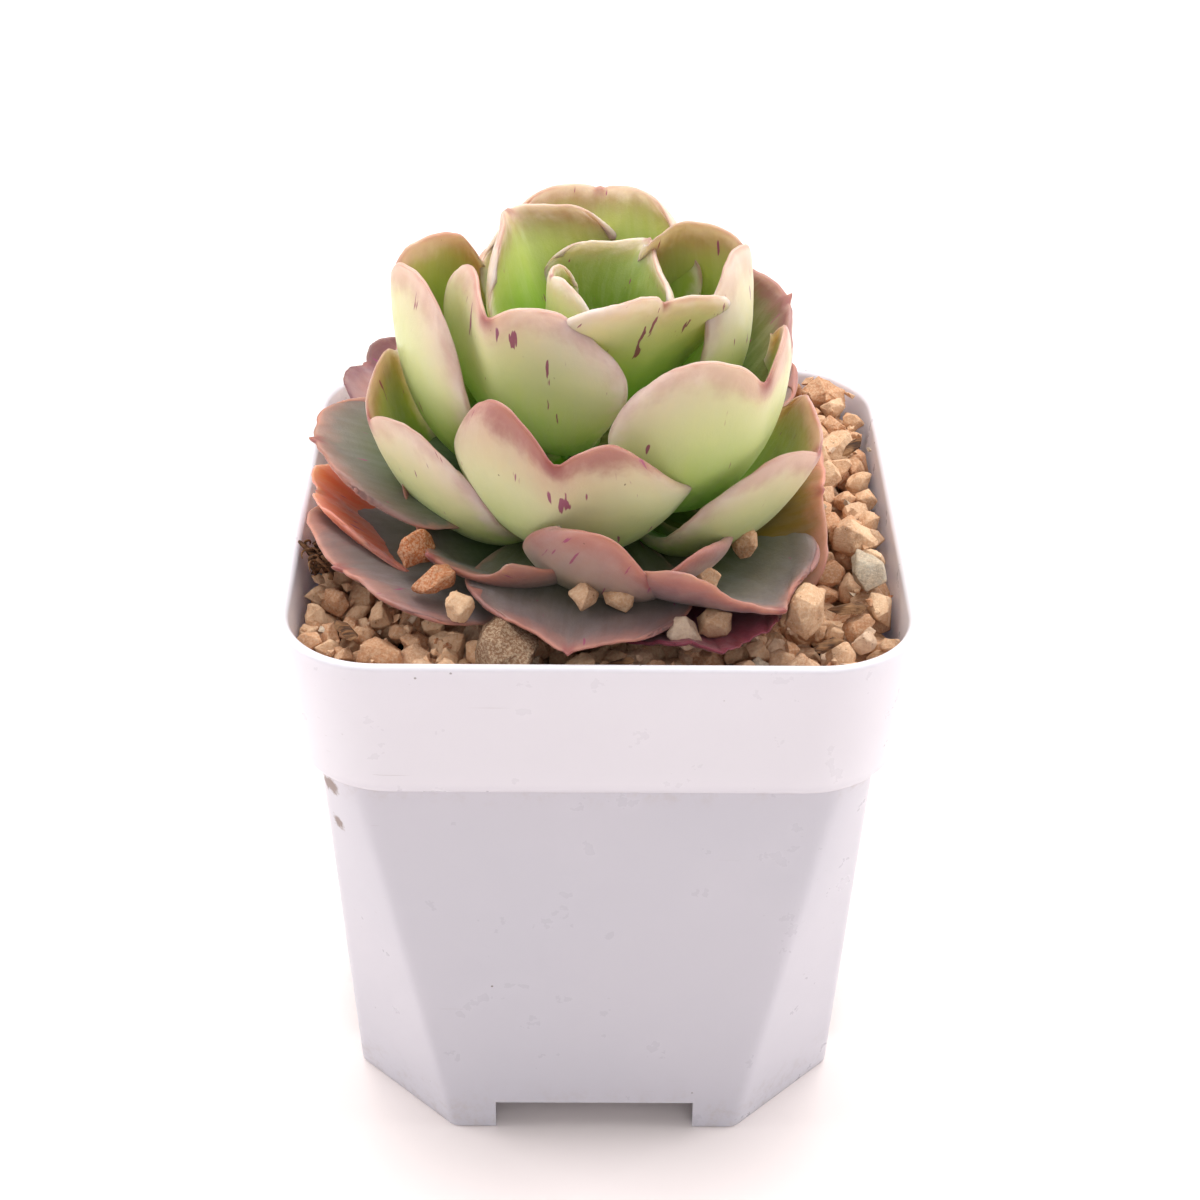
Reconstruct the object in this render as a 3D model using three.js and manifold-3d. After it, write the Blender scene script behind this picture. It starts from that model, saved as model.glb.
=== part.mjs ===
// Potted succulent: a rosette of fleshy leaves growing in a square nursery pot
// filled with potting mix and topped with loose clay granules.
// Millimetres, +Z up. The origin is the middle of the pot's footprint, on the surface it stands on.
import * as THREE from "three";
import { mergeVertices } from "three/addons/utils/BufferGeometryUtils.js";
import Module from "manifold-3d";

// ---------------------------------------------------------------- driving dimensions
const POT_WIDTH = 70; // outside, across the rim
const POT_HEIGHT = 71;
const POT_WALL = 1.3;
const COLLAR_HEIGHT = 17.8;
const COLLAR_TAPER = 1.7; // how far the collar draws in on each side from rim to lower edge
const COLLAR_STEP = 2.4; // from the collar's lower edge in to the body
const COLLAR_CORNER = 11.4; // corner radius in plan
const RIM_ROUND = 1.1; // radius of the rounded lower edge of the collar
const BODY_TAPER = 1.9; // how far the body draws in on each side from collar to foot
const CORNER_CUT_TOP = 4.4; // each body corner is cut flat, narrow at the collar
const CORNER_CUT_FOOT = 12; // and wide at the foot
const FOOT_NOTCH_HEIGHT = 4.2;
const FOOT_NOTCH_WIDTH = 23.8;
const FLOOR_THICKNESS = 1.5;
const DRAIN_HOLE = 7; // diameter
const DRAIN_SPACING = 12.5; // from the middle hole to each of four others

const GRANULES_BELOW_RIM = 2.6;
const GRANULE_LAYER = 8;
const GRANULE_BUMP = 1.3; // how far the granules' tops rise and fall
const STEM_RADIUS = 3.2;
const STEM_HEIGHT = 17; // above the granules
const STEM_DEPTH = 14; // below the granules
const LEAF_THICKNESS = 2.6;
const GAP = 0.3; // clearance between pieces that touch

// ---------------------------------------------------------------- heights that follow from them
const FLOOR_UNDERSIDE = FOOT_NOTCH_HEIGHT + 0.6;
const FLOOR_TOP = FLOOR_UNDERSIDE + FLOOR_THICKNESS;
const COLLAR_BOTTOM = POT_HEIGHT - COLLAR_HEIGHT;
const GRANULE_TOP = POT_HEIGHT - GRANULES_BELOW_RIM;
const MIX_TOP = GRANULE_TOP - GRANULE_LAYER;
const RIM_HALF = POT_WIDTH / 2;
const COLLAR_LOW_HALF = RIM_HALF - COLLAR_TAPER;
const BODY_TOP_HALF = COLLAR_LOW_HALF - COLLAR_STEP;
const FOOT_HALF = BODY_TOP_HALF - BODY_TAPER;

const wasm = await Module();
wasm.setup();

const mix = (a, b, t) => a + (b - a) * t;
const clamp = (x, low, high) => Math.min(high, Math.max(low, x));
const radians = THREE.MathUtils.degToRad;

const potted = new THREE.Group();
potted.name = "potted_succulent";

function finish(color, roughness, extra = {}) {
  return new THREE.MeshStandardMaterial({ color, roughness, metalness: 0, ...extra });
}

// A closed mesh from rows of points. Every row is a ring of the same length.
// The first and last rings are closed with a fan when capped, or join each other when looped.
function ringSolid(rings, { loop = false } = {}) {
  const count = rings[0].length;
  const position = rings.flat().flatMap((p) => [p.x, p.y, p.z]);
  const index = [];
  const steps = loop ? rings.length : rings.length - 1;
  for (let i = 0; i < steps; i++) {
    const here = i * count;
    const next = ((i + 1) % rings.length) * count;
    for (let j = 0; j < count; j++) {
      const k = (j + 1) % count;
      index.push(here + j, here + k, next + k, here + j, next + k, next + j);
    }
  }
  if (!loop) {
    for (const [ring, turn] of [[0, 1], [rings.length - 1, 0]]) {
      const middle = new THREE.Vector3();
      rings[ring].forEach((p) => middle.addScaledVector(p, 1 / count));
      const centre = position.length / 3;
      position.push(middle.x, middle.y, middle.z);
      for (let j = 0; j < count; j++) {
        const k = (j + 1) % count;
        const a = ring * count + j;
        const b = ring * count + k;
        if (turn) index.push(centre, b, a);
        else index.push(centre, a, b);
      }
    }
  }
  const shape = new THREE.BufferGeometry();
  shape.setAttribute("position", new THREE.Float32BufferAttribute(position, 3));
  shape.setIndex(index);
  return shape;
}

// ---------------------------------------------------------------- joining and cutting
function solid(shape) {
  const bare = new THREE.BufferGeometry();
  bare.setAttribute("position", shape.getAttribute("position").clone());
  if (shape.index) bare.setIndex(shape.index.clone());
  const merged = mergeVertices(bare, 1e-4);
  return new wasm.Manifold(
    new wasm.Mesh({
      numProp: 3,
      vertProperties: new Float32Array(merged.attributes.position.array),
      triVerts: new Uint32Array(merged.index.array),
    }),
  );
}

function shapeOf(body) {
  const mesh = body.getMesh();
  const shape = new THREE.BufferGeometry();
  shape.setAttribute("position", new THREE.BufferAttribute(mesh.vertProperties, 3));
  shape.setIndex(new THREE.BufferAttribute(mesh.triVerts, 1));
  return shape;
}

// What is left after a cut is one piece: crumbs that the cut frees are not part of it.
function largest(body) {
  return body.decompose().reduce((a, b) => (a.volume() > b.volume() ? a : b));
}

function cut(body, cutters) {
  return largest(cutters.reduce((left, cutter) => left.subtract(cutter), body));
}

function add(name, body, material) {
  const shape = shapeOf(body);
  shape.computeVertexNormals();
  const mesh = new THREE.Mesh(shape, material);
  mesh.name = name;
  potted.add(mesh);
}

// ---------------------------------------------------------------- pot
// A square section of the pot in plan. Each corner is cut by `corner` along both sides.
// bulge 0 leaves the cut flat and bulge 1 rounds it to an arc.
const CORNER_STEPS = 8;
function potSection(z, half, corner, bulge) {
  const ring = [];
  for (let side = 0; side < 4; side++) {
    for (let i = 0; i <= CORNER_STEPS; i++) {
      const t = i / CORNER_STEPS;
      const turn = (t * Math.PI) / 2;
      const arcX = half - corner + corner * Math.cos(turn);
      const arcY = half - corner + corner * Math.sin(turn);
      const x = mix(half - corner * t, arcX, bulge);
      const y = mix(half - corner * (1 - t), arcY, bulge);
      const angle = (side * Math.PI) / 2;
      ring.push(
        new THREE.Vector3(
          x * Math.cos(angle) - y * Math.sin(angle),
          x * Math.sin(angle) + y * Math.cos(angle),
          z,
        ),
      );
    }
  }
  return ring;
}

// The pot's wall at a height, drawn in by `inset` from the outside.
function bodySection(z, inset = 0) {
  const t = clamp(z / COLLAR_BOTTOM, 0, 1);
  const cutBack = mix(CORNER_CUT_FOOT, CORNER_CUT_TOP, t) - inset * (2 - Math.SQRT2);
  return potSection(z, mix(FOOT_HALF, BODY_TOP_HALF, t) - inset, cutBack, 0.35 * t ** 3);
}

function collarSection(z, inset = 0) {
  const t = clamp((z - COLLAR_BOTTOM) / COLLAR_HEIGHT, 0, 1);
  const half = mix(COLLAR_LOW_HALF, RIM_HALF, t);
  const corner = COLLAR_CORNER - inset - (RIM_HALF - half) * 0.4;
  return potSection(z, half - inset, corner, 1);
}

function potShell() {
  const rings = [];
  const collarInside = COLLAR_BOTTOM + POT_WALL;
  for (const t of [0, 0.4, 0.7, 1]) rings.push(bodySection(COLLAR_BOTTOM * t));
  for (let i = 0; i <= 3; i++) {
    const turn = (i / 3) * (Math.PI / 2);
    const inset = RIM_ROUND * (1 - Math.sin(turn));
    rings.push(collarSection(COLLAR_BOTTOM + RIM_ROUND * (1 - Math.cos(turn)), inset));
  }
  const lip = POT_WALL / 2;
  for (let i = 0; i <= 4; i++) {
    const turn = (i / 4) * Math.PI;
    const z = POT_HEIGHT - lip + lip * Math.sin(turn);
    rings.push(collarSection(z, lip * (1 - Math.cos(turn))));
  }
  rings.push(collarSection(collarInside + RIM_ROUND, POT_WALL));
  rings.push(collarSection(collarInside, POT_WALL + RIM_ROUND));
  for (const t of [1, 0.5, 0]) {
    rings.push(bodySection(mix(FLOOR_TOP, collarInside, t), POT_WALL));
  }
  return ringSolid(rings);
}

// The space under the floor, inside the foot.
function underFloor() {
  return ringSolid([bodySection(-1, POT_WALL), bodySection(FLOOR_UNDERSIDE, POT_WALL)]);
}

function box(width, depth, height, x, y, z) {
  const shape = new THREE.BoxGeometry(width, depth, height);
  shape.translate(x, y, z);
  return solid(shape);
}

let pot = solid(potShell());
pot = pot.subtract(solid(underFloor()));
for (const across of [0, 1]) {
  const notch = [FOOT_NOTCH_WIDTH, POT_WIDTH * 1.2];
  const [x, y] = across ? notch : notch.reverse();
  pot = pot.subtract(box(x, y, 2 * FOOT_NOTCH_HEIGHT, 0, 0, 0));
}
for (let i = 0; i < 5; i++) {
  const hole = new THREE.CylinderGeometry(DRAIN_HOLE / 2, DRAIN_HOLE / 2, 20, 24);
  hole.rotateX(Math.PI / 2);
  const angle = Math.PI / 4 + (i * Math.PI) / 2;
  const reach = i < 4 ? DRAIN_SPACING : 0;
  hole.translate(reach * Math.cos(angle), reach * Math.sin(angle), FLOOR_TOP);
  pot = pot.subtract(solid(hole));
}
pot = largest(pot);
add("pot", pot, finish("#dcd6de", 0.38));

// ---------------------------------------------------------------- leaves
// Each leaf grows from the stem along a curved spine and is cupped across it.
//   azimuth   where it points, counter-clockwise from +X
//   rise      slope of the spine at the base, and tipRise its slope at the tip
//   length    along the spine, half: half-width at its widest, neck: base width over full width
//   cup       how far each half is rolled up about the spine, in degrees
//   lobe      how far the two shoulders reach past the tip, as a share of length
//   corner    how far the outline is rounded off where the end meets the sides
//   keel      how far the end dips along the midline
//   roll      tilt of the blade about its spine at the tip, bend: sideways swing of the spine
//   lean      extra length of the left half over the right half
//   height    of the base above the granules
//   fat       thickness over the usual
const BASE_REACH = STEM_RADIUS + 0.4;
const SPINE_STEPS = 32;
const SPINE_REACH = 1.5;

function spineOf(leaf) {
  const points = [];
  const slopes = [];
  const start = new THREE.Vector3(
    BASE_REACH * Math.cos(radians(leaf.azimuth)),
    BASE_REACH * Math.sin(radians(leaf.azimuth)),
    GRANULE_TOP + leaf.height,
  );
  const at = start.clone();
  const steps = SPINE_STEPS * SPINE_REACH;
  let last = null;
  for (let i = 0; i <= steps; i++) {
    const t = i / SPINE_STEPS;
    const left = 1 - Math.min(t, 1);
    const slope = radians(leaf.tipRise + (leaf.rise - leaf.tipRise) * left ** 1.7);
    const heading = radians(leaf.azimuth + leaf.bend * t);
    const way = new THREE.Vector3(
      Math.cos(slope) * Math.cos(heading),
      Math.cos(slope) * Math.sin(heading),
      Math.sin(slope),
    );
    if (last) at.addScaledVector(last.add(way), leaf.length / SPINE_STEPS / 2);
    points.push(at.clone());
    slopes.push({ way, heading });
    last = way.clone();
  }
  return { points, slopes };
}

// A point of the blade's middle surface: u runs from base to tip and v from side to side.
function bladePoint(leaf, spine, u, v) {
  const shoulder = leaf.lobe * Math.sin(Math.PI * Math.min(1, Math.abs(v) / 0.95));
  const end = shoulder - leaf.corner * Math.abs(v) ** 4 + leaf.lean * v;
  const reach = u * (1 + end * Math.max(0, u) ** 1.5);
  const place = Math.min(reach, SPINE_REACH - 0.01) * SPINE_STEPS;
  const i = Math.max(0, Math.floor(place));
  const t = place - i;
  const at = spine.points[i].clone().lerp(spine.points[i + 1], t);
  const way = spine.slopes[i].way.clone().lerp(spine.slopes[i + 1].way, t).normalize();
  const heading = mix(spine.slopes[i].heading, spine.slopes[i + 1].heading, t);
  const side = new THREE.Vector3(-Math.sin(heading), Math.cos(heading), 0);
  const face = way.clone().cross(side);
  const swell = Math.sin((Math.PI / 2) * clamp(u / 0.72, 0, 1)) ** 1.3;
  const narrow = 1 - 0.14 * clamp((u - 0.72) / 0.28, 0, 1) ** 2;
  const half = leaf.half * mix(leaf.neck, 1, swell) * narrow;
  const roll = radians(leaf.roll) * u;
  const across = side.clone().multiplyScalar(Math.cos(roll));
  across.addScaledVector(face, Math.sin(roll));
  const up = face.clone().multiplyScalar(Math.cos(roll));
  up.addScaledVector(side, -Math.sin(roll));
  const curl = radians(leaf.cup) || 1e-3;
  const out = (half * Math.sin(curl * v)) / curl;
  const lift = (half * (1 - Math.cos(curl * v))) / curl;
  const dip = leaf.keel * leaf.length * u ** 4 * Math.exp(-((v / 0.35) ** 2));
  return at.addScaledVector(across, out).addScaledVector(up, lift - dip);
}

// Thickest on the midline a third of the way out, and thinning to nothing at the margins.
function leafThickness(leaf, u, v) {
  const rounded = Math.sqrt(Math.max(0, 1 - Math.abs(v) ** 2.6));
  const base = mix(0.55, 1, clamp(u / 0.35, 0, 1));
  const end = (1 - 0.42 * u) * Math.sqrt(Math.max(0, 1 - Math.max(0, u) ** 9));
  return LEAF_THICKNESS * leaf.fat * rounded * base * end;
}

const ROWS = [0, 0.16, 0.34, 0.52, 0.68, 0.82, 0.94, 1];
const COLUMNS = [-1, -0.9, -0.65, -0.34, 0, 0.34, 0.65, 0.9, 1];

// A leaf as a closed pillow about the blade. Grown, it reaches that much further on every side.
function leafShape(leaf, grow = 0) {
  const spine = spineOf(leaf);
  const position = [];
  const index = [];
  const ids = new Map();
  const nudge = 1e-3;
  const ahead = grow / leaf.length;
  const aside = grow / leaf.half;
  const rows = grow ? [-ahead, ...ROWS, 1 + ahead] : ROWS;
  const columns = grow ? [-1 - aside, ...COLUMNS, 1 + aside] : COLUMNS;
  const vertex = (row, column, sheet) => {
    const edge = column === 0 || column === columns.length - 1 || row === rows.length - 1;
    const key = [row, column, edge ? 0 : sheet].join();
    if (ids.has(key)) return ids.get(key);
    const u = rows[row];
    const v = columns[column];
    const at = bladePoint(leaf, spine, u, v);
    const along = bladePoint(leaf, spine, u + nudge, v);
    along.sub(bladePoint(leaf, spine, u - nudge, v));
    const over = bladePoint(leaf, spine, u, v + nudge);
    over.sub(bladePoint(leaf, spine, u, v - nudge));
    const up = along.cross(over).normalize();
    const thick = edge ? 0 : leafThickness(leaf, u, v) + 2 * grow;
    at.addScaledVector(up, sheet * thick * (sheet > 0 ? 0.4 : 0.6));
    ids.set(key, position.length / 3);
    position.push(at.x, at.y, at.z);
    return ids.get(key);
  };
  const quad = (a, b, c, d, turn) => {
    const corners = turn ? [a, d, c, b] : [a, b, c, d];
    const [p, q, r, s] = corners;
    if (p !== q && q !== r && p !== r) index.push(p, q, r);
    if (p !== r && r !== s && p !== s) index.push(p, r, s);
  };
  for (const sheet of [1, -1]) {
    for (let i = 0; i < rows.length - 1; i++) {
      for (let j = 0; j < columns.length - 1; j++) {
        quad(
          vertex(i, j, sheet),
          vertex(i + 1, j, sheet),
          vertex(i + 1, j + 1, sheet),
          vertex(i, j + 1, sheet),
          sheet < 0,
        );
      }
    }
  }
  for (let j = 0; j < columns.length - 1; j++) {
    quad(vertex(0, j, 1), vertex(0, j + 1, 1), vertex(0, j + 1, -1), vertex(0, j, -1), false);
  }
  const shape = new THREE.BufferGeometry();
  shape.setAttribute("position", new THREE.Float32BufferAttribute(position, 3));
  shape.setIndex(index);
  return shape;
}

const USUAL = { neck: 0.34, cup: 40, lobe: 0, corner: 0.24, keel: 0.03, roll: 0, bend: 0, lean: 0, fat: 1 };
const INNER = { color: "#b9c489", slot: "inner" };
const MIDDLE = { color: "#c9bfa0", slot: "middle" };
const OUTER = { color: "#9a8f8c", slot: "outer" };
const OLD = { color: "#c4623f", slot: "old" };
const DRIED = { color: "#8e3a52", slot: "dried" };
const LEAVES = [
  // the heart
  { azimuth: 190, rise: 64, tipRise: 95, length: 12.3, half: 7.2, height: 19.8, cup: 72, lobe: 0.03,
    corner: 0.29, roll: 2, lean: 0.02, fat: 0.6, tone: INNER },
  { azimuth: 59, rise: 69, tipRise: 85, length: 15.5, half: 10.4, height: 17.6, cup: 40, lobe: -0.06,
    corner: 0.25, keel: 0.22, roll: -5, bend: -5, lean: 0.05, fat: 0.7, tone: INNER },
  { azimuth: 301, rise: 65, tipRise: 52, length: 18.4, half: 13.2, height: 16.7, cup: 56, lobe: 0.16,
    corner: 0.24, keel: -0.1, roll: -12, bend: 3, lean: -0.01, fat: 0.8, tone: MIDDLE },
  { azimuth: 133, rise: 45, tipRise: 83, length: 21.6, half: 11.8, height: 15.3, cup: 38, lobe: 0.01,
    keel: 0.2, roll: 1, fat: 0.9, tone: INNER },
  { azimuth: 9, rise: -16, tipRise: 105, length: 26.6, half: 13, height: 14, cup: 85, lobe: 0.1,
    corner: -0.03, keel: 0.1, roll: 17, bend: 1, lean: 0.04, fat: 0.9, tone: INNER },
  { azimuth: 220, rise: -2, tipRise: 100, length: 24.5, half: 14.7, height: 12.4, cup: 42, lobe: 0.09,
    corner: 0.03, keel: 0.13, roll: 9, bend: 2, lean: -0.05, tone: MIDDLE },
  { azimuth: 93, rise: 54, tipRise: 74, length: 26.3, half: 13.8, height: 12.1, cup: 41,
    corner: 0.25, keel: 0.09, roll: -10, bend: -4, tone: INNER },
  // the upright middle leaves
  { azimuth: 180, rise: -25, tipRise: 99, length: 35, half: 13.7, height: 9, cup: 68, lobe: 0.07,
    corner: 0.07, keel: 0.08, roll: -6, bend: -2, lean: -0.03, tone: MIDDLE },
  { azimuth: 50, rise: 40, tipRise: 62, length: 25, half: 13, height: 9.4, tone: INNER },
  { azimuth: 17, rise: 18, tipRise: 62, length: 26, half: 13.7, height: 8.8, cup: 16, lobe: -0.04,
    corner: 0.27, keel: 0.07, roll: 10, bend: -2, lean: 0.09, tone: INNER },
  { azimuth: 115, rise: 35, tipRise: 60, length: 26, half: 13, height: 8, tone: INNER },
  { azimuth: 319, rise: -21, tipRise: 85, length: 31.2, half: 15.7, height: 7.4, cup: 70, lobe: 0.1,
    corner: 0.05, keel: 0.05, roll: -5, bend: -1, tone: MIDDLE },
  { azimuth: 255, rise: -42, tipRise: 80, length: 32, half: 16.1, height: 7.1, cup: 64, lobe: 0.1,
    corner: 0.18, keel: 0.05, roll: -7, bend: 13, lean: -0.1, tone: MIDDLE },
  { azimuth: 152, rise: 25, tipRise: 50, length: 27, half: 13, height: 6.5, tone: INNER },
  { azimuth: 75, rise: 20, tipRise: 42, length: 28, half: 13, height: 5.8, tone: INNER },
  { azimuth: 201, rise: -52, tipRise: 82, length: 32.8, half: 13.1, height: 5.2, cup: 46, lobe: 0.05,
    corner: 0.05, keel: 0.08, lean: -0.1, fat: 0.7, tone: MIDDLE },
  { azimuth: 33, rise: 12, tipRise: 60, length: 24, half: 13, height: 5.2, tone: INNER },
  // the low outer leaves
  { azimuth: 187, rise: 2, tipRise: 24, length: 31, half: 12.4, height: 5, cup: 6, lobe: -0.06,
    corner: 0.32, keel: -0.01, roll: -9, bend: 3, lean: -0.05, fat: 0.8, tone: OUTER },
  { azimuth: 130, rise: 5, tipRise: 28, length: 29, half: 13, height: 4.8, cup: 34, tone: OUTER },
  { azimuth: 346, rise: -20, tipRise: 24, length: 25, half: 14.4, height: 4.7, cup: -15, lobe: -0.04,
    corner: 0.18, keel: -0.1, roll: 20, bend: -1, fat: 0.7, tone: OUTER },
  { azimuth: 279, rise: -59, tipRise: 54, length: 28.4, half: 14, height: 4.5, cup: 53, lobe: 0.13,
    corner: 0.13, keel: 0.07, roll: -4, bend: 7, lean: -0.17, fat: 0.9, tone: MIDDLE },
  { azimuth: 226, rise: -50, tipRise: 39, length: 26.3, half: 14, height: 4.5, cup: 51, lobe: -0.12,
    corner: 0.07, keel: 0.01, roll: -7, bend: -1, fat: 0.8, tone: OUTER },
  { azimuth: 331, rise: -48, tipRise: 75, length: 29.7, half: 14.1, height: 4.4, cup: 46, lobe: 0.05,
    corner: 0.17, keel: 0.09, roll: -3, bend: 10, lean: 0.06, tone: MIDDLE },
  { azimuth: 95, rise: 2, tipRise: 20, length: 28.5, half: 13, height: 4, cup: 34, tone: OUTER },
  { azimuth: 55, rise: 2, tipRise: 16, length: 30, half: 13, height: 3.6, cup: 34, tone: OUTER },
  { azimuth: 215, rise: -29, tipRise: 24, length: 32.2, half: 12.9, height: 3.2, cup: 6, lobe: -0.01,
    corner: 0.12, keel: 0.01, roll: -7, bend: -3, lean: -0.07, fat: 0.8, tone: OUTER },
  { azimuth: 263, rise: -5, tipRise: 6, length: 30, half: 12.6, height: 3, cup: 7, lobe: -0.08,
    corner: 0.3, keel: 0.02, roll: -3, bend: 3, lean: 0.05, fat: 0.7, tone: OUTER },
  { azimuth: 146, rise: -11, tipRise: 21, length: 33.5, half: 8.6, height: 6.5, cup: 23,
    roll: -25, fat: 0.6, tone: OLD },
  { azimuth: 306, rise: -32, tipRise: 30, length: 34, half: 14.5, height: 2, cup: 39, lobe: -0.13,
    corner: 0.25, roll: -5, bend: -5, lean: -0.13, fat: 0.8, tone: OUTER },
  // the two oldest leaves: one turning colour, one dried up
  { azimuth: 187, rise: 9, tipRise: 2, length: 29.6, half: 11.5, height: 3.9, cup: 6, fat: 0.6, tone: OLD },
  { azimuth: 292, rise: -2, tipRise: 0, length: 27, half: 5, height: 1.2, cup: 40, fat: 0.6, tone: DRIED },
];

// ---------------------------------------------------------------- stem
function stemShape() {
  const low = GRANULE_TOP - STEM_DEPTH;
  const top = GRANULE_TOP + STEM_HEIGHT;
  const profile = [
    [0, low],
    [STEM_RADIUS * 0.7, low],
    [STEM_RADIUS, mix(low, GRANULE_TOP, 0.4)],
    [STEM_RADIUS, mix(GRANULE_TOP, top, 0.5)],
    [STEM_RADIUS * 0.6, mix(GRANULE_TOP, top, 0.9)],
    [0, top],
  ].map(([r, z]) => new THREE.Vector2(r, z));
  const shape = new THREE.LatheGeometry(profile, 20);
  shape.rotateX(Math.PI / 2);
  return shape;
}

function stemGrown() {
  const shape = stemShape();
  const at = shape.getAttribute("position");
  for (let i = 0; i < at.count; i++) {
    const r = Math.hypot(at.getX(i), at.getY(i));
    const wider = r > 1e-6 ? (r + GAP) / r : 1;
    at.setXY(i, at.getX(i) * wider, at.getY(i) * wider);
    if (r < 1e-6) at.setZ(i, at.getZ(i) + GAP * Math.sign(at.getZ(i) - GRANULE_TOP));
  }
  return solid(shape);
}

add("stem", solid(stemShape()), finish("#8a8f5a", 0.7));

const plantCutters = [stemGrown()];
LEAVES.forEach((entry, i) => {
  const leaf = { ...USUAL, ...entry };
  const body = cut(solid(leafShape(leaf)), plantCutters);
  plantCutters.push(solid(leafShape(leaf, GAP)));
  const name = "leaf_" + String(i + 1).padStart(2, "0");
  add(name, body, finish(leaf.tone.color, 0.5, { side: THREE.DoubleSide }));
});

// ---------------------------------------------------------------- granules
// A repeatable value from 0 to 1 for a whole number, so that each stone keeps its shape.
function chance(n) {
  const wave = Math.sin(n * 127.1 + 11.7) * 43758.5453;
  return wave - Math.floor(wave);
}

// A broken granule: a ball flattened by a few chance planes, in the stone's own proportions.
function stoneShape(stone, grow = 0) {
  const planes = [];
  for (let i = 0; i < 11; i++) {
    const n = stone.seed * 31 + i * 3;
    const height = 2 * chance(n) - 1;
    const turn = 2 * Math.PI * chance(n + 1);
    const level = Math.sqrt(1 - height * height);
    const facing = new THREE.Vector3(level * Math.cos(turn), level * Math.sin(turn), height);
    planes.push({ facing, away: 0.72 + 0.2 * chance(n + 2) });
  }
  const shape = mergeVertices(bare(new THREE.IcosahedronGeometry(1, 1)));
  const at = shape.getAttribute("position");
  const p = new THREE.Vector3();
  for (let i = 0; i < at.count; i++) {
    p.fromBufferAttribute(at, i).normalize();
    let reach = 1;
    for (const { facing, away } of planes) {
      const toward = p.dot(facing);
      if (toward > 0.05) reach = Math.min(reach, away / toward);
    }
    at.setXYZ(
      i,
      p.x * (reach * stone.long + grow),
      p.y * (reach * stone.wide + grow),
      p.z * (reach * stone.tall + grow),
    );
  }
  shape.rotateX(radians(stone.tilt));
  shape.rotateZ(radians(stone.turn));
  shape.translate(stone.x, stone.y, GRANULE_TOP + stone.above);
  return shape;
}

function bare(shape) {
  shape.deleteAttribute("normal");
  shape.deleteAttribute("uv");
  return shape;
}

// Half-sizes along, across and up. `above` is the middle's height over the granules' mean level.
const STONES = [
  { name: "stone_on_left_leaf", x: -20.2, y: -16.5, above: 6.2, long: 2, wide: 2.6, tall: 2.2, seed: 1 },
  { name: "stone_left_leaf_edge", x: -17.6, y: -21.5, above: 5.1, long: 3, wide: 1.7, tall: 1.6, seed: 2 },
  { name: "stone_left_tip", x: -14.9, y: -25.6, above: 4.2, long: 2, wide: 1.9, tall: 1.9, seed: 3 },
  { name: "stone_front_leaf_left", x: -1.5, y: -24.6, above: 5.2, long: 2.4, wide: 1.6, tall: 1.6, seed: 4 },
  { name: "stone_front_leaf_right", x: 2.2, y: -25, above: 5, long: 2, wide: 1.3, tall: 1.4, seed: 5 },
  { name: "stone_on_right_leaf", x: 11.6, y: -20.4, above: 4.8, long: 1.9, wide: 1.8, tall: 2.3, seed: 6 },
  { name: "stone_under_right_leaf", x: 16.4, y: -12.2, above: 4.6, long: 2.3, wide: 1.8, tall: 2, seed: 7 },
  { name: "stone_front_1", x: 9.2, y: -27.4, above: 2.2, long: 2, wide: 1.9, tall: 2, seed: 8 },
  { name: "stone_front_2", x: 12.6, y: -25.8, above: 2.4, long: 2.4, wide: 2, tall: 1.8, seed: 9 },
  { name: "stone_right_tan", x: 22.4, y: -24.2, above: 3.2, long: 2.9, wide: 2.6, tall: 3.2, seed: 10 },
  { name: "stone_right_grey", x: 30, y: -14.2, above: 2, long: 2.9, wide: 2.2, tall: 2.3, seed: 11 },
  { name: "stone_right_oblong", x: 29.2, y: -6.8, above: 1.8, long: 3, wide: 2.2, tall: 2.1, seed: 12 },
  { name: "stone_front_brown", x: -9.8, y: -28.2, above: 0.6, long: 4.6, wide: 3.8, tall: 3.8, seed: 13 },
];
const stoneCutters = [];
for (const entry of STONES) {
  const stone = { tilt: 20 * chance(entry.seed), turn: 40 * chance(entry.seed + 50), ...entry };
  const body = cut(solid(stoneShape(stone)), [...plantCutters, ...stoneCutters]);
  stoneCutters.push(solid(stoneShape(stone, GAP)));
  add(stone.name, body, finish("#b98f62", 0.9));
}

// The pot's inside in plan, with points along its straight sides as well as its corners.
const SIDE_STEPS = 5;
function insideRing(z) {
  const inset = POT_WALL + GAP;
  const corners = z > COLLAR_BOTTOM ? collarSection(z, inset) : bodySection(z, inset);
  const ring = [];
  corners.forEach((p, i) => {
    ring.push(p);
    if ((i + 1) % (CORNER_STEPS + 1)) return;
    const next = corners[(i + 1) % corners.length];
    for (let j = 1; j < SIDE_STEPS; j++) ring.push(p.clone().lerp(next, j / SIDE_STEPS));
  });
  return ring;
}

// The granules' surface rises and falls with the stones in it, and is heaped a little to the back.
function granuleLevel(x, y) {
  const lumps = Math.sin(x * 1.15 + Math.sin(y * 0.5)) * Math.cos(y * 1.05 + Math.sin(x * 0.7));
  return GRANULE_TOP + GRANULE_BUMP * (0.55 * lumps + (0.6 * y) / RIM_HALF);
}

function granuleBed() {
  const outside = insideRing(MIX_TOP + GAP);
  const hole = STEM_RADIUS + GAP;
  const rings = [];
  const inward = (p, t, z) => {
    const reach = Math.hypot(p.x, p.y);
    const shrink = mix(1, hole / reach, t);
    const at = new THREE.Vector3(p.x * shrink, p.y * shrink, 0);
    at.z = z === undefined ? granuleLevel(at.x, at.y) : z;
    return at;
  };
  const depth = MIX_TOP + GAP;
  rings.push(outside.map((p) => inward(p, 0, depth)));
  for (let i = 0; i <= 9; i++) rings.push(outside.map((p) => inward(p, i / 9)));
  rings.push(outside.map((p) => inward(p, 1, depth)));
  return ringSolid(rings, { loop: true });
}

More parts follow.
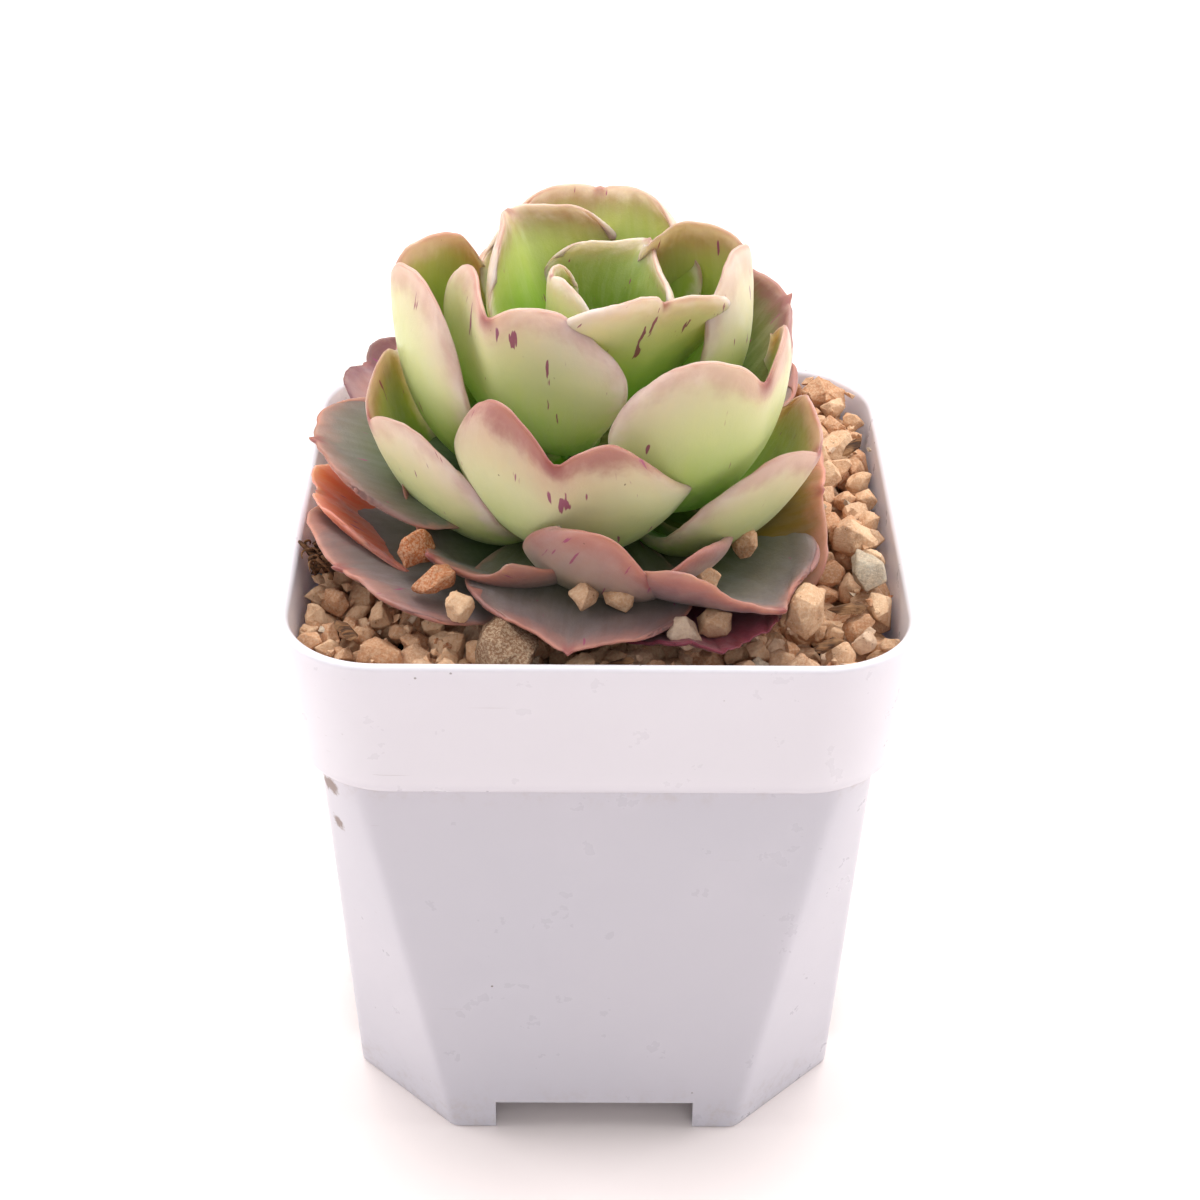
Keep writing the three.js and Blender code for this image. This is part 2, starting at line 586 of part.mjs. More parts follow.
const bed = cut(solid(granuleBed()), [...plantCutters, ...stoneCutters]);
add("granule_bed", bed, finish("#b48a5e", 0.95));

function mixShape() {
  const step = COLLAR_BOTTOM + POT_WALL + GAP;
  const inset = POT_WALL + GAP;
  const rings = [];
  for (const t of [0, 0.5, 1]) rings.push(bodySection(mix(FLOOR_TOP + GAP, step, t), inset));
  rings.push(collarSection(step + 0.1, inset + RIM_ROUND));
  rings.push(collarSection(step + RIM_ROUND, inset));
  rings.push(collarSection(MIX_TOP, inset));
  return ringSolid(rings);
}

add("potting_mix", cut(solid(mixShape()), [stemGrown()]), finish("#4a3628", 1));

export default potted;
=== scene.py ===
"""Potted succulent: the look of the rosette, its granules and its pot, in the CAD frame."""
import math

import bmesh
import bpy
import numpy as np
from mathutils import Euler, Matrix, Vector, noise


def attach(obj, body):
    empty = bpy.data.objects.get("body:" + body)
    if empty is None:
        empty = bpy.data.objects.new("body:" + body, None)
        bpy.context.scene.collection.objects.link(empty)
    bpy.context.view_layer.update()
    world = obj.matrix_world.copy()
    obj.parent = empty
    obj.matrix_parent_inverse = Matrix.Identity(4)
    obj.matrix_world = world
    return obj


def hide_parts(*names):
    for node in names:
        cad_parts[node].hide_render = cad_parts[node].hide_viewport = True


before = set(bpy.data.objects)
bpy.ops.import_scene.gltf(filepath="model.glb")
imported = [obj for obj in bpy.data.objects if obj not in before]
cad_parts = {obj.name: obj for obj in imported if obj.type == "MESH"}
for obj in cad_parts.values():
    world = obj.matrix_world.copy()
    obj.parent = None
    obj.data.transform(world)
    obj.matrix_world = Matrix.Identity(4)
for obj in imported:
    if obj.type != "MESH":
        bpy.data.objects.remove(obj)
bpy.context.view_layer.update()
MM = 0.001
SEED = 7

# -------------------- sizes, in millimetres
POT_WIDTH, POT_HEIGHT, POT_WALL = 70.0, 71.0, 1.3
COLLAR_HEIGHT, COLLAR_TAPER, COLLAR_STEP, COLLAR_CORNER = 17.8, 1.7, 2.4, 11.4
GRANULES_BELOW_RIM = 2.6
STEM_RADIUS = 3.2
LEAF_THICKNESS = 2.6

RIM_HALF = POT_WIDTH / 2
GRANULE_TOP = POT_HEIGHT - GRANULES_BELOW_RIM
BASE_REACH = STEM_RADIUS + 0.4
# Faces that meet at a sharper angle than this keep a crisp edge.
CRISP = math.radians(38)


# -------------------- shader helpers
class Shader:
    """Builds one material's node tree."""

    def __init__(self, name):
        self.material = bpy.data.materials.new(name)
        self.material.use_nodes = True
        self.tree = self.material.node_tree
        self.main = self.tree.nodes["Principled BSDF"]

    def node(self, kind, **settings):
        made = self.tree.nodes.new("ShaderNode" + kind)
        for key, value in settings.items():
            setattr(made, key, value)
        return made

    def put(self, value, socket):
        if hasattr(value, "is_output"):
            self.tree.links.new(value, socket)
        else:
            socket.default_value = value

    def set(self, **values):
        for key, value in values.items():
            self.put(value, self.main.inputs[key.replace("_", " ")])

    def attribute(self, name, output="Fac"):
        return self.node("Attribute", attribute_name=name).outputs[output]

    def coordinates(self):
        """Object coordinates in millimetres."""
        source = self.node("TexCoord").outputs["Object"]
        return self.vector("SCALE", source, scale=1 / MM)

    def vector(self, operation, a, b=None, scale=None):
        made = self.node("VectorMath", operation=operation)
        self.put(a, made.inputs[0])
        if b is not None:
            self.put(b, made.inputs[1])
        if scale is not None:
            self.put(scale, made.inputs["Scale"])
        return made.outputs["Vector"]

    def math(self, operation, a, b=0.0, c=0.0, clamp=False):
        made = self.node("Math", operation=operation, use_clamp=clamp)
        for value, socket in zip((a, b, c), made.inputs):
            self.put(value, socket)
        return made.outputs[0]

    def times(self, a, b):
        return self.math("MULTIPLY", a, b)

    def ramp(self, value, low, high, out_low=0.0, out_high=1.0):
        """From out_low to out_high, smoothly, as the value goes from low to high."""
        made = self.node("MapRange", interpolation_type="SMOOTHSTEP", clamp=True)
        for given, socket in zip((value, low, high, out_low, out_high), made.inputs):
            self.put(given, socket)
        return made.outputs[0]

    def mix(self, factor, a, b, blend="MIX"):
        made = self.node("Mix", data_type="RGBA", blend_type=blend)
        self.put(factor, made.inputs["Factor"])
        for value, socket in ((a, made.inputs[6]), (b, made.inputs[7])):
            if isinstance(value, tuple) and len(value) == 3:
                value = (*value, 1.0)
            self.put(value, socket)
        return made.outputs[2]

    def noise(self, vector, scale, detail=2.0, roughness=0.5):
        made = self.node("TexNoise")
        self.put(vector, made.inputs["Vector"])
        self.put(scale, made.inputs["Scale"])
        self.put(detail, made.inputs["Detail"])
        self.put(roughness, made.inputs["Roughness"])
        return made.outputs["Fac"]

    def cells(self, vector, scale):
        made = self.node("TexVoronoi", feature="F1")
        self.put(vector, made.inputs["Vector"])
        self.put(scale, made.inputs["Scale"])
        return made.outputs["Distance"]

    def bump(self, height, strength, distance):
        made = self.node("Bump")
        made.inputs["Strength"].default_value = strength
        made.inputs["Distance"].default_value = distance * MM
        self.put(height, made.inputs["Height"])
        self.put(made.outputs["Normal"], self.main.inputs["Normal"])


def srgb(red, green, blue):
    """A linear colour from 0 to 255 screen values."""
    out = []
    for c in (red, green, blue):
        c /= 255
        out.append(c / 12.92 if c <= 0.04045 else ((c + 0.055) / 1.055) ** 2.4)
    return tuple(out)


# -------------------- mesh helpers
def make_object(name, points, faces, material):
    mesh = bpy.data.meshes.new(name)
    mesh.from_pydata([tuple(p) for p in np.asarray(points) * MM], [], [tuple(f) for f in faces])
    mesh.validate()
    mesh.polygons.foreach_set("use_smooth", [True] * len(mesh.polygons))
    mesh.materials.append(material)
    piece = bpy.data.objects.new(name, mesh)
    bpy.context.scene.collection.objects.link(piece)
    return piece


def give(piece, name, values):
    """Stores one number per vertex for the piece's material to read."""
    layer = piece.data.attributes.new(name, "FLOAT", "POINT")
    layer.data.foreach_set("value", np.asarray(values, np.float32))


def give_colour(piece, name, values):
    layer = piece.data.attributes.new(name, "FLOAT_COLOR", "POINT")
    rgba = np.ones((len(values), 4), np.float32)
    rgba[:, :3] = values
    layer.data.foreach_set("color", rgba.ravel())


def smoothstep(x, low, high):
    t = np.clip((x - low) / (high - low), 0, 1)
    return t * t * (3 - 2 * t)


def wander(x, seed, waves=5, lowest=1.0):
    """A repeatable smooth wobble of x, about -1 to 1."""
    rng = np.random.default_rng(seed)
    out = np.zeros_like(x)
    for i in range(waves):
        rate = lowest * (1.7**i)
        out += np.sin(rate * x * math.pi + rng.uniform(0, 6.28)) * rng.uniform(0.5, 1) / (i + 1)
    return out / 2


# -------------------- leaves
# The CAD's blades, some of them placed a little differently, and then three buds. Angles are
# in degrees and lengths in millimetres: which way the spine points, how it rises at the base
# and at the tip, its length, half the blade's width, the base's height over the granules, how
# far the blade cups across, how its end bulges to the sides and is cut back at the corners, the
# keel, the roll to one side, the spine's sideways bend, how the end leans, and how thick it is.
LEAF_KEYS = "azimuth rise tip_rise length half height cup lobe corner keel roll bend lean fat tone"
LEAVES = """
190  64  95 12.3  7.2 19.8 72  .03  .29  .03   2   0  .02 .6 heart
 59  69  85 15.5 10.4 17.6 40 -.06  .25  .22  -5  -5  .05 .7 heart
301  65  52 18.4 11.8 16.7 30  .16  .24 -.1  -12   3 -.01 .8 heart
133  45  83 21.6 11.8 15.3 38  .01  .24  .2    1   0   0  .9 green
  9 -16 105 26.6 13.0 14.0 85  .1  -.03  .1   17   1  .04 .9 green
220  -2 100 24.5 14.7 12.4 42  .09  .03  .13   9   2 -.05 1  blush
 93  54  74 26.3 13.8 12.1 41   0   .25  .09 -10  -4   0  1  green
180 -25  99 35.0 13.7  9.0 68  .07  .07  .08  -6  -2 -.03 1  blush
 50  40  62 25.0 13.0  9.4 40   0   .24  .03   0   0   0  1  green
 17  18  62 26.0 13.7  8.8 16 -.04  .27  .07  10  -2  .09 1  deep
115  35  60 26.0 13.0  8.0 40   0   .24  .03   0   0   0  1  green
319 -21  85 31.2 15.7  7.4 70  .1   .05  .05  -5  -1   0  1  blush
255 -42  80 32.0 16.1  7.1 64  .1   .26  .05  -7  13 -.14 1  mauve
152  25  50 27.0 13.0  6.5 40   0   .24  .03   0   0   0  1  green
 75  20  42 28.0 13.0  5.8 40   0   .24  .03   0   0   0  1  green
201 -52  82 32.8 13.1  5.2 46  .05  .05  .08   0   0 -.1  .7 blush
 33  12  60 24.0 13.0  5.2 40   0   .24  .03   0   0   0  1  green
187   2  24 31.0 12.4  5.0  6 -.06  .32 -.01  -9   3 -.05 .8 grey
130   5  28 29.0 13.0  4.8 34   0   .24  .03   0   0   0  1  grey
346 -20  24 25.0 13.4  4.0 -15 -.04  .18 -.1   34  -1   0  .7 olive
279 -59  54 28.4 14.0  4.5 53  .13  .13  .07  -4   7 -.17 .9 violet
226 -50  39 26.3 14.0  4.5 51 -.12  .07  .01  -7  -1   0  .8 grey
331 -48  75 29.7 14.1  4.4 46  .05  .17  .09  -3  10  .06 1  blush
 95   2  20 28.5 13.0  4.0 34   0   .24  .03   0   0   0  1  grey
 55   2  16 30.0 13.0  3.6 34   0   .24  .03   0   0   0  1  grey
215 -29  24 32.2 12.9  3.2  6 -.01  .12  .01  -7  -3 -.07 .8 lilac
263  -5   6 30.0 12.6  3.0  7 -.08  .3   .02  -3   3  .05 .7 lilac
146 -11  21 32.0  8.4  6.5 23   0   .24  .03 -25   0   0  .6 husk
306 -32  30 34.0 14.5  3.9 39 -.13  .25  .03 -12  -5 -.13 .8 lilac
192 -40  45 33.0 11.5  1.4 10   0   .24  .03   0   0   0  .6 old
297 -24  22 30.6 10.5  0.4 10   0   .24  .03   0   0   0  .5 dried
250  70 100  8.6  4.0 14.2 70   0   .3   .03   0   0   0  .5 heart
130  74 104  8.0  3.8 14.6 70   0   .3   .03   0   0   0  .5 heart
 10  70 102  8.4  4.0 14.0 70   0   .3   .03   0   0   0  .5 heart
"""
# Sharp points at some tips, and bases wider than usual, by leaf number.
NIBS = {10: 0.03, 18: 0.022, 22: 0.02, 23: 0.016, 26: 0.035, 27: 0.02}
NECKS = {3: 0.75}
# Purple flecks: where their middles are along and across, how far they spread, how strong.
FLECKS = {
    3: [(0.78, -0.12, 0.22, 0.09, 1), (0.86, 0.30, 0.14, 0.10, 0.9), (0.8, 0.62, 0.2, 0.08, 1)],
    5: [(0.85, -0.3, 0.12, 0.12, 0.4)],
    6: [(0.88, -0.20, 0.10, 0.08, 1), (0.90, 0.16, 0.07, 0.09, 1), (0.7, 0.5, 0.2, 0.2, 0.35)],
    12: [(0.84, 0.66, 0.10, 0.10, 0.9), (0.7, -0.2, 0.16, 0.2, 0.3)],
    13: [(0.84, -0.02, 0.12, 0.12, 0.7), (0.9, 0.4, 0.08, 0.2, 0.4)],
    18: [(0.85, -0.2, 0.15, 0.2, 0.4)],
    21: [(0.8, 0.0, 0.2, 0.2, 0.35)],
    29: [(0.85, 0.2, 0.12, 0.2, 0.5)],
}
# How much a margin ripples, by tone, and otherwise.
RIPPLES = {"dried": 7, "old": 4, "lilac": 2.6, "grey": 2.2, "olive": 2.5}
USUAL_NIB, USUAL_NECK, USUAL_RIPPLE = 0.012, 0.34, 1.2
# The blade reaches its full width here, and narrows again towards the tip.
WIDEST = 0.72
# How much of the thickness lies inside the blade's middle surface.
INNER_SHARE = 0.4
# The spine is worked out in this many steps, and on past the leaf's length for its lobes.
SPINE_STEPS, SPINE_REACH = 64, 1.5
ROWS, COLUMNS = 46, 57
# The rows after the CAD's own leaves are buds, deep in the heart.
CAD_LEAVES = 31


class Leaf:
    def __init__(self, number, words):
        for key, word in zip(LEAF_KEYS.split(), words):
            setattr(self, key, word if key == "tone" else float(word))
        self.number = number
        self.bud = number > CAD_LEAVES
        self.node = f"bud_{number - CAD_LEAVES}" if self.bud else f"leaf_{number:02d}"

    def spine(self, reach):
        """Points and directions along the spine, for arc lengths in units of the leaf's length."""
        t = np.linspace(0, SPINE_REACH, int(SPINE_STEPS * SPINE_REACH) + 1)
        left = 1 - np.minimum(t, 1)
        slope = np.radians(self.tip_rise + (self.rise - self.tip_rise) * left**1.7)
        heading = np.radians(self.azimuth + self.bend * t)
        way = np.stack(
            [np.cos(slope) * np.cos(heading), np.cos(slope) * np.sin(heading), np.sin(slope)], -1
        )
        points = np.zeros_like(way)
        points[1:] = np.cumsum((way[1:] + way[:-1]) / 2, axis=0) * self.length / SPINE_STEPS
        turn = math.radians(self.azimuth)
        points += np.array(
            [BASE_REACH * math.cos(turn), BASE_REACH * math.sin(turn), GRANULE_TOP + self.height]
        )
        at = np.stack([np.interp(reach, t, points[:, k]) for k in range(3)], -1)
        way_here = np.stack([np.interp(reach, t, way[:, k]) for k in range(3)], -1)
        way_here /= np.linalg.norm(way_here, axis=-1, keepdims=True)
        return at, way_here, np.interp(reach, t, heading)

    def blade(self, u, v):
        """The middle surface, with the small unevenness of a grown margin."""
        seed = self.number * 11
        side = np.abs(v)
        shoulder = self.lobe * np.sin(np.pi * np.minimum(1, side / 0.95))
        end = shoulder - self.corner * side**4 + self.lean * v
        nib = NIBS.get(self.number, USUAL_NIB) * np.exp(-((v / 0.03) ** 2))
        nib = nib - 0.022 * np.exp(-((v / 0.10) ** 2))
        end = end + nib + 0.011 * wander(v, seed, 4, 2.2)
        reach = np.clip(u * (1 + end * np.maximum(u, 0) ** 1.5), 0, SPINE_REACH - 0.01)
        at, way, heading = self.spine(reach)
        flat = np.zeros_like(heading)
        across = np.stack([-np.sin(heading), np.cos(heading), flat], -1)
        face = np.cross(way, across)
        swell = np.sin(np.pi / 2 * np.clip(u / WIDEST, 0, 1)) ** 1.3
        late = np.clip((u - WIDEST) / (1 - WIDEST), 0, 1)
        narrow = 1 - 0.14 * late**2 - 0.07 * late**6
        neck = NECKS.get(self.number, USUAL_NECK)
        half = self.half * (neck + (1 - neck) * swell) * narrow
        edge = smoothstep(side, 0.5, 1)
        half = half * (1 + 0.018 * edge * wander(u + 0.4 * v, seed + 1, 4, 1.6))
        roll = np.radians(self.roll) * u
        c, s = np.cos(roll)[..., None], np.sin(roll)[..., None]
        sideways, up = across * c + face * s, face * c - across * s
        curl = math.radians(self.cup) or 1e-3
        out = half * np.sin(curl * v) / curl
        lift = half * (1 - np.cos(curl * v)) / curl
        dip = self.keel * self.length * u**4 * np.exp(-((v / 0.35) ** 2))
        ripple = 0.16 * RIPPLES.get(self.tone, USUAL_RIPPLE) * smoothstep(np.maximum(side, u), 0.6, 1)
        lift = lift - dip + ripple * wander(u * 1.3 + v, seed + 2, 5, 1.8)
        crease = 0.05 * self.half * np.exp(-((v / 0.12) ** 2)) * smoothstep(u, 0.1, 0.6)
        return at + sideways * out[..., None] + up * (lift - crease * (1 - u))[..., None]

    def thickness(self, u, v):
        rounded = np.sqrt(np.maximum(0, 1 - np.abs(v) ** 3.2))
        base = 0.55 + 0.45 * np.clip(u / 0.35, 0, 1)
        end = (1 - 0.42 * u) * np.sqrt(np.maximum(0, 1 - np.maximum(0, u) ** 14))
        return LEAF_THICKNESS * self.fat * rounded * base * end

    def lattice(self):
        """Places along and across the blade, closer together at its end and sides."""
        s = np.linspace(-1, 1, COLUMNS)
        columns = 0.3 * s + 0.7 * np.sin(np.pi / 2 * s)
        t = np.linspace(0, 1, ROWS)
        rows = 0.35 * t + 0.65 * np.sin(np.pi / 2 * t)
        return np.meshgrid(rows, columns, indexing="ij")

    def skins(self, u, v):
        """Points of the inner face and then of the outer face."""
        d = 1e-3
        middle = self.blade(u, v)
        normal = np.cross(
            self.blade(u + d, v) - self.blade(u - d, v), self.blade(u, v + d) - self.blade(u, v - d)
        )
        normal /= np.linalg.norm(normal, axis=-1, keepdims=True)
        thick = self.thickness(u, v)[..., None]
        inner = middle + INNER_SHARE * thick * normal
        outer = middle - (1 - INNER_SHARE) * thick * normal
        return np.concatenate([inner.reshape(-1, 3), outer.reshape(-1, 3)])

    def weave(self):
        """The points that are used, and the faces between them. The two skins share their rims."""
        count = ROWS * COLUMNS
        shared = np.arange(2 * count)
        grid = np.arange(count).reshape(ROWS, COLUMNS)
        for rim in (grid[:, 0], grid[:, -1], grid[-1]):
            shared[rim + count] = rim
        faces = []
        for i in range(ROWS - 1):
            for j in range(COLUMNS - 1):
                a, b, c, e = grid[i, j], grid[i + 1, j], grid[i + 1, j + 1], grid[i, j + 1]
                parts = [(a, b, c, e)]
                # the tip's corner cells are cut so that the two skins share no triangle
                if i == ROWS - 2 and j == 0:
                    parts = [(a, b, e), (b, c, e)]
                elif i == ROWS - 2 and j == COLUMNS - 2:
                    parts = [(a, b, c), (a, c, e)]
                for part in parts:
                    faces.append(part)
                    faces.append(tuple(shared[np.array(part[::-1]) + count]))
        for j in range(COLUMNS - 1):
            a, b = grid[0, j], grid[0, j + 1]
            faces.append(tuple(dict.fromkeys((a, b, shared[b + count], shared[a + count]))))
        used = np.unique(shared)
        renumber = np.zeros(2 * count, int)
        renumber[used] = np.arange(len(used))
        faces = [tuple(dict.fromkeys(renumber[list(f)])) for f in faces]
        return used, [f for f in faces if len(f) > 2]

    def build(self, material):
        u, v = self.lattice()
        used, faces = self.weave()
        self.points = self.skins(u, v)[used]
        piece = make_object("look_" + self.node, self.points, faces, material)
        both_u, both_v = np.tile(u.ravel(), 2)[used], np.tile(v.ravel(), 2)[used]
        is_inner = (used < ROWS * COLUMNS).astype(float)
        give(piece, "along", both_u)
        give(piece, "across", both_v)
        give(piece, "inner", is_inner)
        from_side = (1 - np.abs(both_v)) * self.half
        from_tip = (1 - both_u) * self.length * 0.9
        give(piece, "margin", np.minimum(from_side, from_tip))
        give_colour(piece, "tint", self.colours(both_u, both_v, is_inner))
        give(piece, "leaf", np.full(len(used), self.number * 3.7))
        flecks = np.full(len(used), 0.1)
        for along, across, tall, wide, strength in FLECKS.get(self.number, ()):
            away = ((both_u - along) / tall) ** 2 + ((both_v - across) / wide) ** 2
            flecks = np.maximum(flecks, strength * np.exp(-away) * (1 - 0.8 * is_inner))
        give(piece, "fleck", flecks)
        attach(piece, "root")
        if not self.bud:
            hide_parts(self.node)
        return piece

    def colours(self, u, v, inner):
        """Colour along the blade on each face, from base to tip."""
        rng = np.random.default_rng(self.number)
        sway = 0.04 * np.sin(2.2 * v + rng.uniform(0, 6)) - 0.16 * np.abs(v) ** 2.5
        place = np.clip(u - sway - 0.05, 0, 1)
        out = np.empty((len(u), 3))
        for k in range(3):
            faces = [
                np.interp(place, TONE_STOPS, [srgb(*colour)[k] for colour in stops])
                for stops in TONES[self.tone]
            ]
            out[:, k] = np.where(inner > 0.5, faces[0], faces[1])
        return out


# Half the width and the length of an even leaf, on which the skins' patterns are laid.
PATTERN_HALF, PATTERN_LENGTH = 13, 26
# Places along the blade, and the inner and outer face's screen colours there.
TONE_STOPS = (0.0, 0.22, 0.5, 0.78, 1.0)
TONES = {
    "heart": (
        [(84, 122, 36), (100, 138, 44), (124, 152, 58), (148, 162, 80), (206, 194, 154)],
        [(160, 204, 84), (176, 208, 104), (196, 210, 136), (210, 208, 162), (230, 208, 194)],
    ),
    "green": (
        [(94, 152, 32), (124, 180, 50), (152, 192, 70), (174, 188, 96), (160, 132, 100)],
        [(148, 206, 70), (172, 220, 98), (200, 224, 138), (220, 216, 174), (230, 206, 194)],
    ),
    "deep": (
        [(60, 120, 18), (84, 144, 26), (96, 136, 38), (112, 116, 62), (116, 80, 82)],
        [(150, 206, 60), (176, 220, 90), (210, 226, 140), (240, 232, 200), (246, 226, 216)],
    ),
    "blush": (
        [(92, 150, 30), (122, 182, 48), (152, 196, 68), (176, 192, 92), (178, 146, 110)],
        [(136, 200, 56), (162, 212, 84), (188, 216, 120), (210, 212, 158), (228, 200, 188)],
    ),
    "mauve": (
        [(84, 134, 28), (104, 146, 52), (126, 140, 92), (142, 132, 120), (152, 120, 120)],
        [(146, 204, 78), (168, 212, 100), (190, 214, 130), (206, 204, 162), (190, 146, 138)],
    ),
    "violet": (
        [(84, 134, 28), (100, 134, 52), (116, 118, 90), (126, 108, 104), (134, 104, 106)],
        [(150, 196, 84), (164, 192, 108), (172, 172, 132), (168, 142, 130), (166, 124, 120)],
    ),
    "grey": (
        [(52, 104, 10), (72, 112, 30), (92, 110, 70), (106, 102, 92), (124, 98, 94)],
        [(118, 160, 62), (124, 144, 80), (132, 130, 102), (142, 120, 112), (158, 112, 106)],
    ),
    "lilac": (
        [(62, 104, 18), (84, 104, 46), (102, 104, 86), (116, 106, 104), (128, 100, 100)],
        [(112, 140, 58), (122, 126, 86), (134, 118, 108), (144, 112, 112), (154, 104, 102)],
    ),
    "olive": (
        [(62, 92, 10), (84, 96, 16), (108, 98, 28), (134, 106, 48), (154, 108, 78)],
        [(104, 122, 38), (128, 122, 56), (150, 122, 78), (166, 124, 100), (182, 128, 112)],
    ),
    "husk": (
        [(110, 60, 36), (150, 92, 58), (178, 120, 84), (160, 108, 96), (116, 74, 82)],
        [(110, 64, 40), (150, 92, 66), (176, 122, 96), (164, 112, 104), (136, 86, 90)],
    ),
    "old": (
        [(120, 44, 14), (164, 62, 24), (206, 86, 38), (216, 96, 56), (226, 116, 92)],
        [(130, 56, 26), (176, 72, 34), (210, 90, 52), (220, 106, 76), (226, 128, 106)],
    ),
    "dried": (
        [(76, 28, 38), (104, 36, 54), (134, 54, 78), (154, 74, 94), (130, 52, 70)],
        [(76, 28, 38), (108, 38, 56), (132, 50, 74), (148, 68, 88), (120, 44, 64)],
    ),
}


def leaf_material(tone, margin, edge, bloom, through, rim, wide, dusk):
    """Fleshy leaf: tinted flesh, pale margin partly painted as glow through the thin edge, thin coloured
    edge, flecks, pores and wax bloom.
    """
    s = Shader("leaf_skin_" + tone)
    margin, edge = srgb(*margin), srgb(*edge)
    along, across = s.attribute("along"), s.attribute("across")
    inner, depth_in = s.attribute("inner"), s.attribute("margin")
    own = s.attribute("leaf")
    spot = s.coordinates()
    place = s.node("CombineXYZ")
    s.put(s.times(across, PATTERN_HALF), place.inputs["X"])
    s.put(s.times(along, PATTERN_LENGTH), place.inputs["Y"])
    s.put(s.math("MULTIPLY_ADD", inner, 50, own), place.inputs["Z"])
    place = place.outputs["Vector"]
    tint = s.attribute("tint", "Color")

    cloud = s.ramp(s.noise(place, 0.22, 3, 0.6), 0.3, 0.7)
    tint = s.mix(s.times(cloud, 0.3), tint, (0.7, 0.62, 0.5), "SOFT_LIGHT")
    stretched = s.vector("MULTIPLY", place, (1.0, 0.16, 1.0))
    veins = s.ramp(s.noise(stretched, 0.9, 4, 0.65), 0.38, 0.66)
    tint = s.mix(s.times(veins, 0.12), tint, bloom)

    ragged = s.math("MULTIPLY_ADD", s.noise(place, 0.55, 3), 2.4, -1.2)
    # the pale margin: partly the leaf's own paler rim and partly painted glow of light through the thin
    # edge
    pale = s.ramp(s.math("ADD", depth_in, ragged), wide, 0.1)
    tint = s.mix(s.times(pale, rim), tint, margin)
    # towards the tip the margin turns dusky, in clouds
    cloudy = s.math("MULTIPLY_ADD", s.noise(place, 0.34, 4, 0.6), 5.0, -2.5)
    dusky = s.ramp(s.math("ADD", depth_in, cloudy), 3.2, 0.4)
    dusky = s.times(dusky, s.ramp(along, 0.7, 0.92))
    tint = s.mix(s.times(dusky, dusk), tint, edge)
    line = s.ramp(s.math("MULTIPLY_ADD", ragged, 0.16, depth_in), 0.62, 0.08)
    line = s.times(line, s.ramp(along, 0.3, 0.75, 0.1, 1.0))
    line = s.times(line, s.ramp(s.noise(place, 0.16, 2), 0.36, 0.58, 0.25, 1.0))
    tint = s.mix(s.times(line, 0.62), tint, edge)

    # short purple streaks that run along the blade
    lines = s.vector("MULTIPLY", place, (1.0, 0.17, 1.0))
    fleck = s.attribute("fleck")
    limit = s.math("MULTIPLY_ADD", fleck, -0.24, 0.73)
    streak = s.math("SUBTRACT", s.noise(lines, 1.5, 2, 0.5), limit)
    streak = s.times(s.ramp(streak, 0.0, 0.035), s.ramp(depth_in, 0.2, 0.8))
    hue = s.mix(s.noise(place, 0.3, 1), srgb(134, 48, 112), srgb(156, 66, 92))
    tint = s.mix(s.times(streak, 0.88), tint, hue)
    # the point at the tip is darker
    from_middle = s.math("ABSOLUTE", across)
    point = s.times(s.ramp(along, 0.93, 1.0), s.ramp(from_middle, 0.11, 0.02))
    tint = s.mix(s.times(point, 0.75), tint, srgb(132, 62, 66))
    # grains of dirt and dust
    grain = s.ramp(s.cells(spot, 0.34), 0.055, 0.035)
    grain = s.times(grain, s.ramp(s.noise(spot, 0.35, 2), 0.52, 0.60))
    tint = s.mix(s.times(grain, 0.75), tint, srgb(92, 62, 48))

    wax = s.ramp(s.noise(place, 0.6, 4, 0.7), 0.35, 0.7)
    rough = s.math("MULTIPLY_ADD", wax, 0.2, 0.36)
    s.set(Base_Color=tint, Roughness=rough)
    s.set(Subsurface_Weight=through, Subsurface_Radius=(1.0, 0.9, 0.55), Subsurface_Scale=3.4 * MM)
    s.set(Specular_IOR_Level=0.42, Sheen_Weight=0.12, Sheen_Roughness=0.4)
    pores = s.noise(spot, 5.0, 2)
    swell = s.noise(spot, 0.45, 3)
    height = s.math("MULTIPLY_ADD", swell, 2.4, s.times(pores, 0.5))
    s.bump(height, 0.35, 0.12)
    return s.material


WARM, COOL = (0.62, 0.64, 0.4), (0.34, 0.34, 0.34)
# The colours of margin, edge and veins, how much light goes through, and how strong the pale
# margin with its painted glow is, how wide in millimetres, and how dusky towards the tip.
SKIN_LOOKS = {
    "heart": ((244, 224, 216), (196, 136, 124), WARM, 0.5, 0.6, 1.6, 0.2),
    "green": ((246, 230, 216), (172, 108, 98), WARM, 0.5, 0.6, 2.0, 0.3),
    "blush": ((246, 220, 212), (166, 96, 92), WARM, 0.5, 0.55, 2.4, 0.4),
    "deep": ((246, 230, 216), (140, 78, 84), WARM, 0.5, 0.3, 1.4, 0.5),
    "mauve": ((232, 200, 192), (142, 76, 74), WARM, 0.42, 0.4, 1.8, 0.75),
    "violet": ((204, 164, 150), (156, 90, 82), COOL, 0.36, 0.35, 1.4, 0.6),
    "grey": ((186, 138, 122), (176, 108, 92), COOL, 0.26, 0.3, 1.0, 0.3),
    "lilac": ((182, 132, 120), (194, 124, 106), COOL, 0.24, 0.3, 1.0, 0.3),
    "olive": ((196, 132, 116), (222, 146, 136), COOL, 0.34, 0.4, 1.2, 0.3),
    "husk": ((122, 74, 84), (100, 54, 66), COOL, 0.26, 0.7, 2.6, 0.3),
    "old": ((232, 150, 132), (228, 130, 118), WARM, 0.55, 0.5, 1.8, 0.3),
    "dried": ((170, 84, 104), (110, 36, 52), COOL, 0.15, 0.4, 1.6, 0.3),
}
SKINS = {tone: leaf_material(tone, *look) for tone, look in SKIN_LOOKS.items()}

leaf_rows = [line.split() for line in LEAVES.strip().splitlines()]
leaves = [Leaf(i + 1, words) for i, words in enumerate(leaf_rows)]
for leaf in leaves:
    leaf.build(SKINS[leaf.tone])


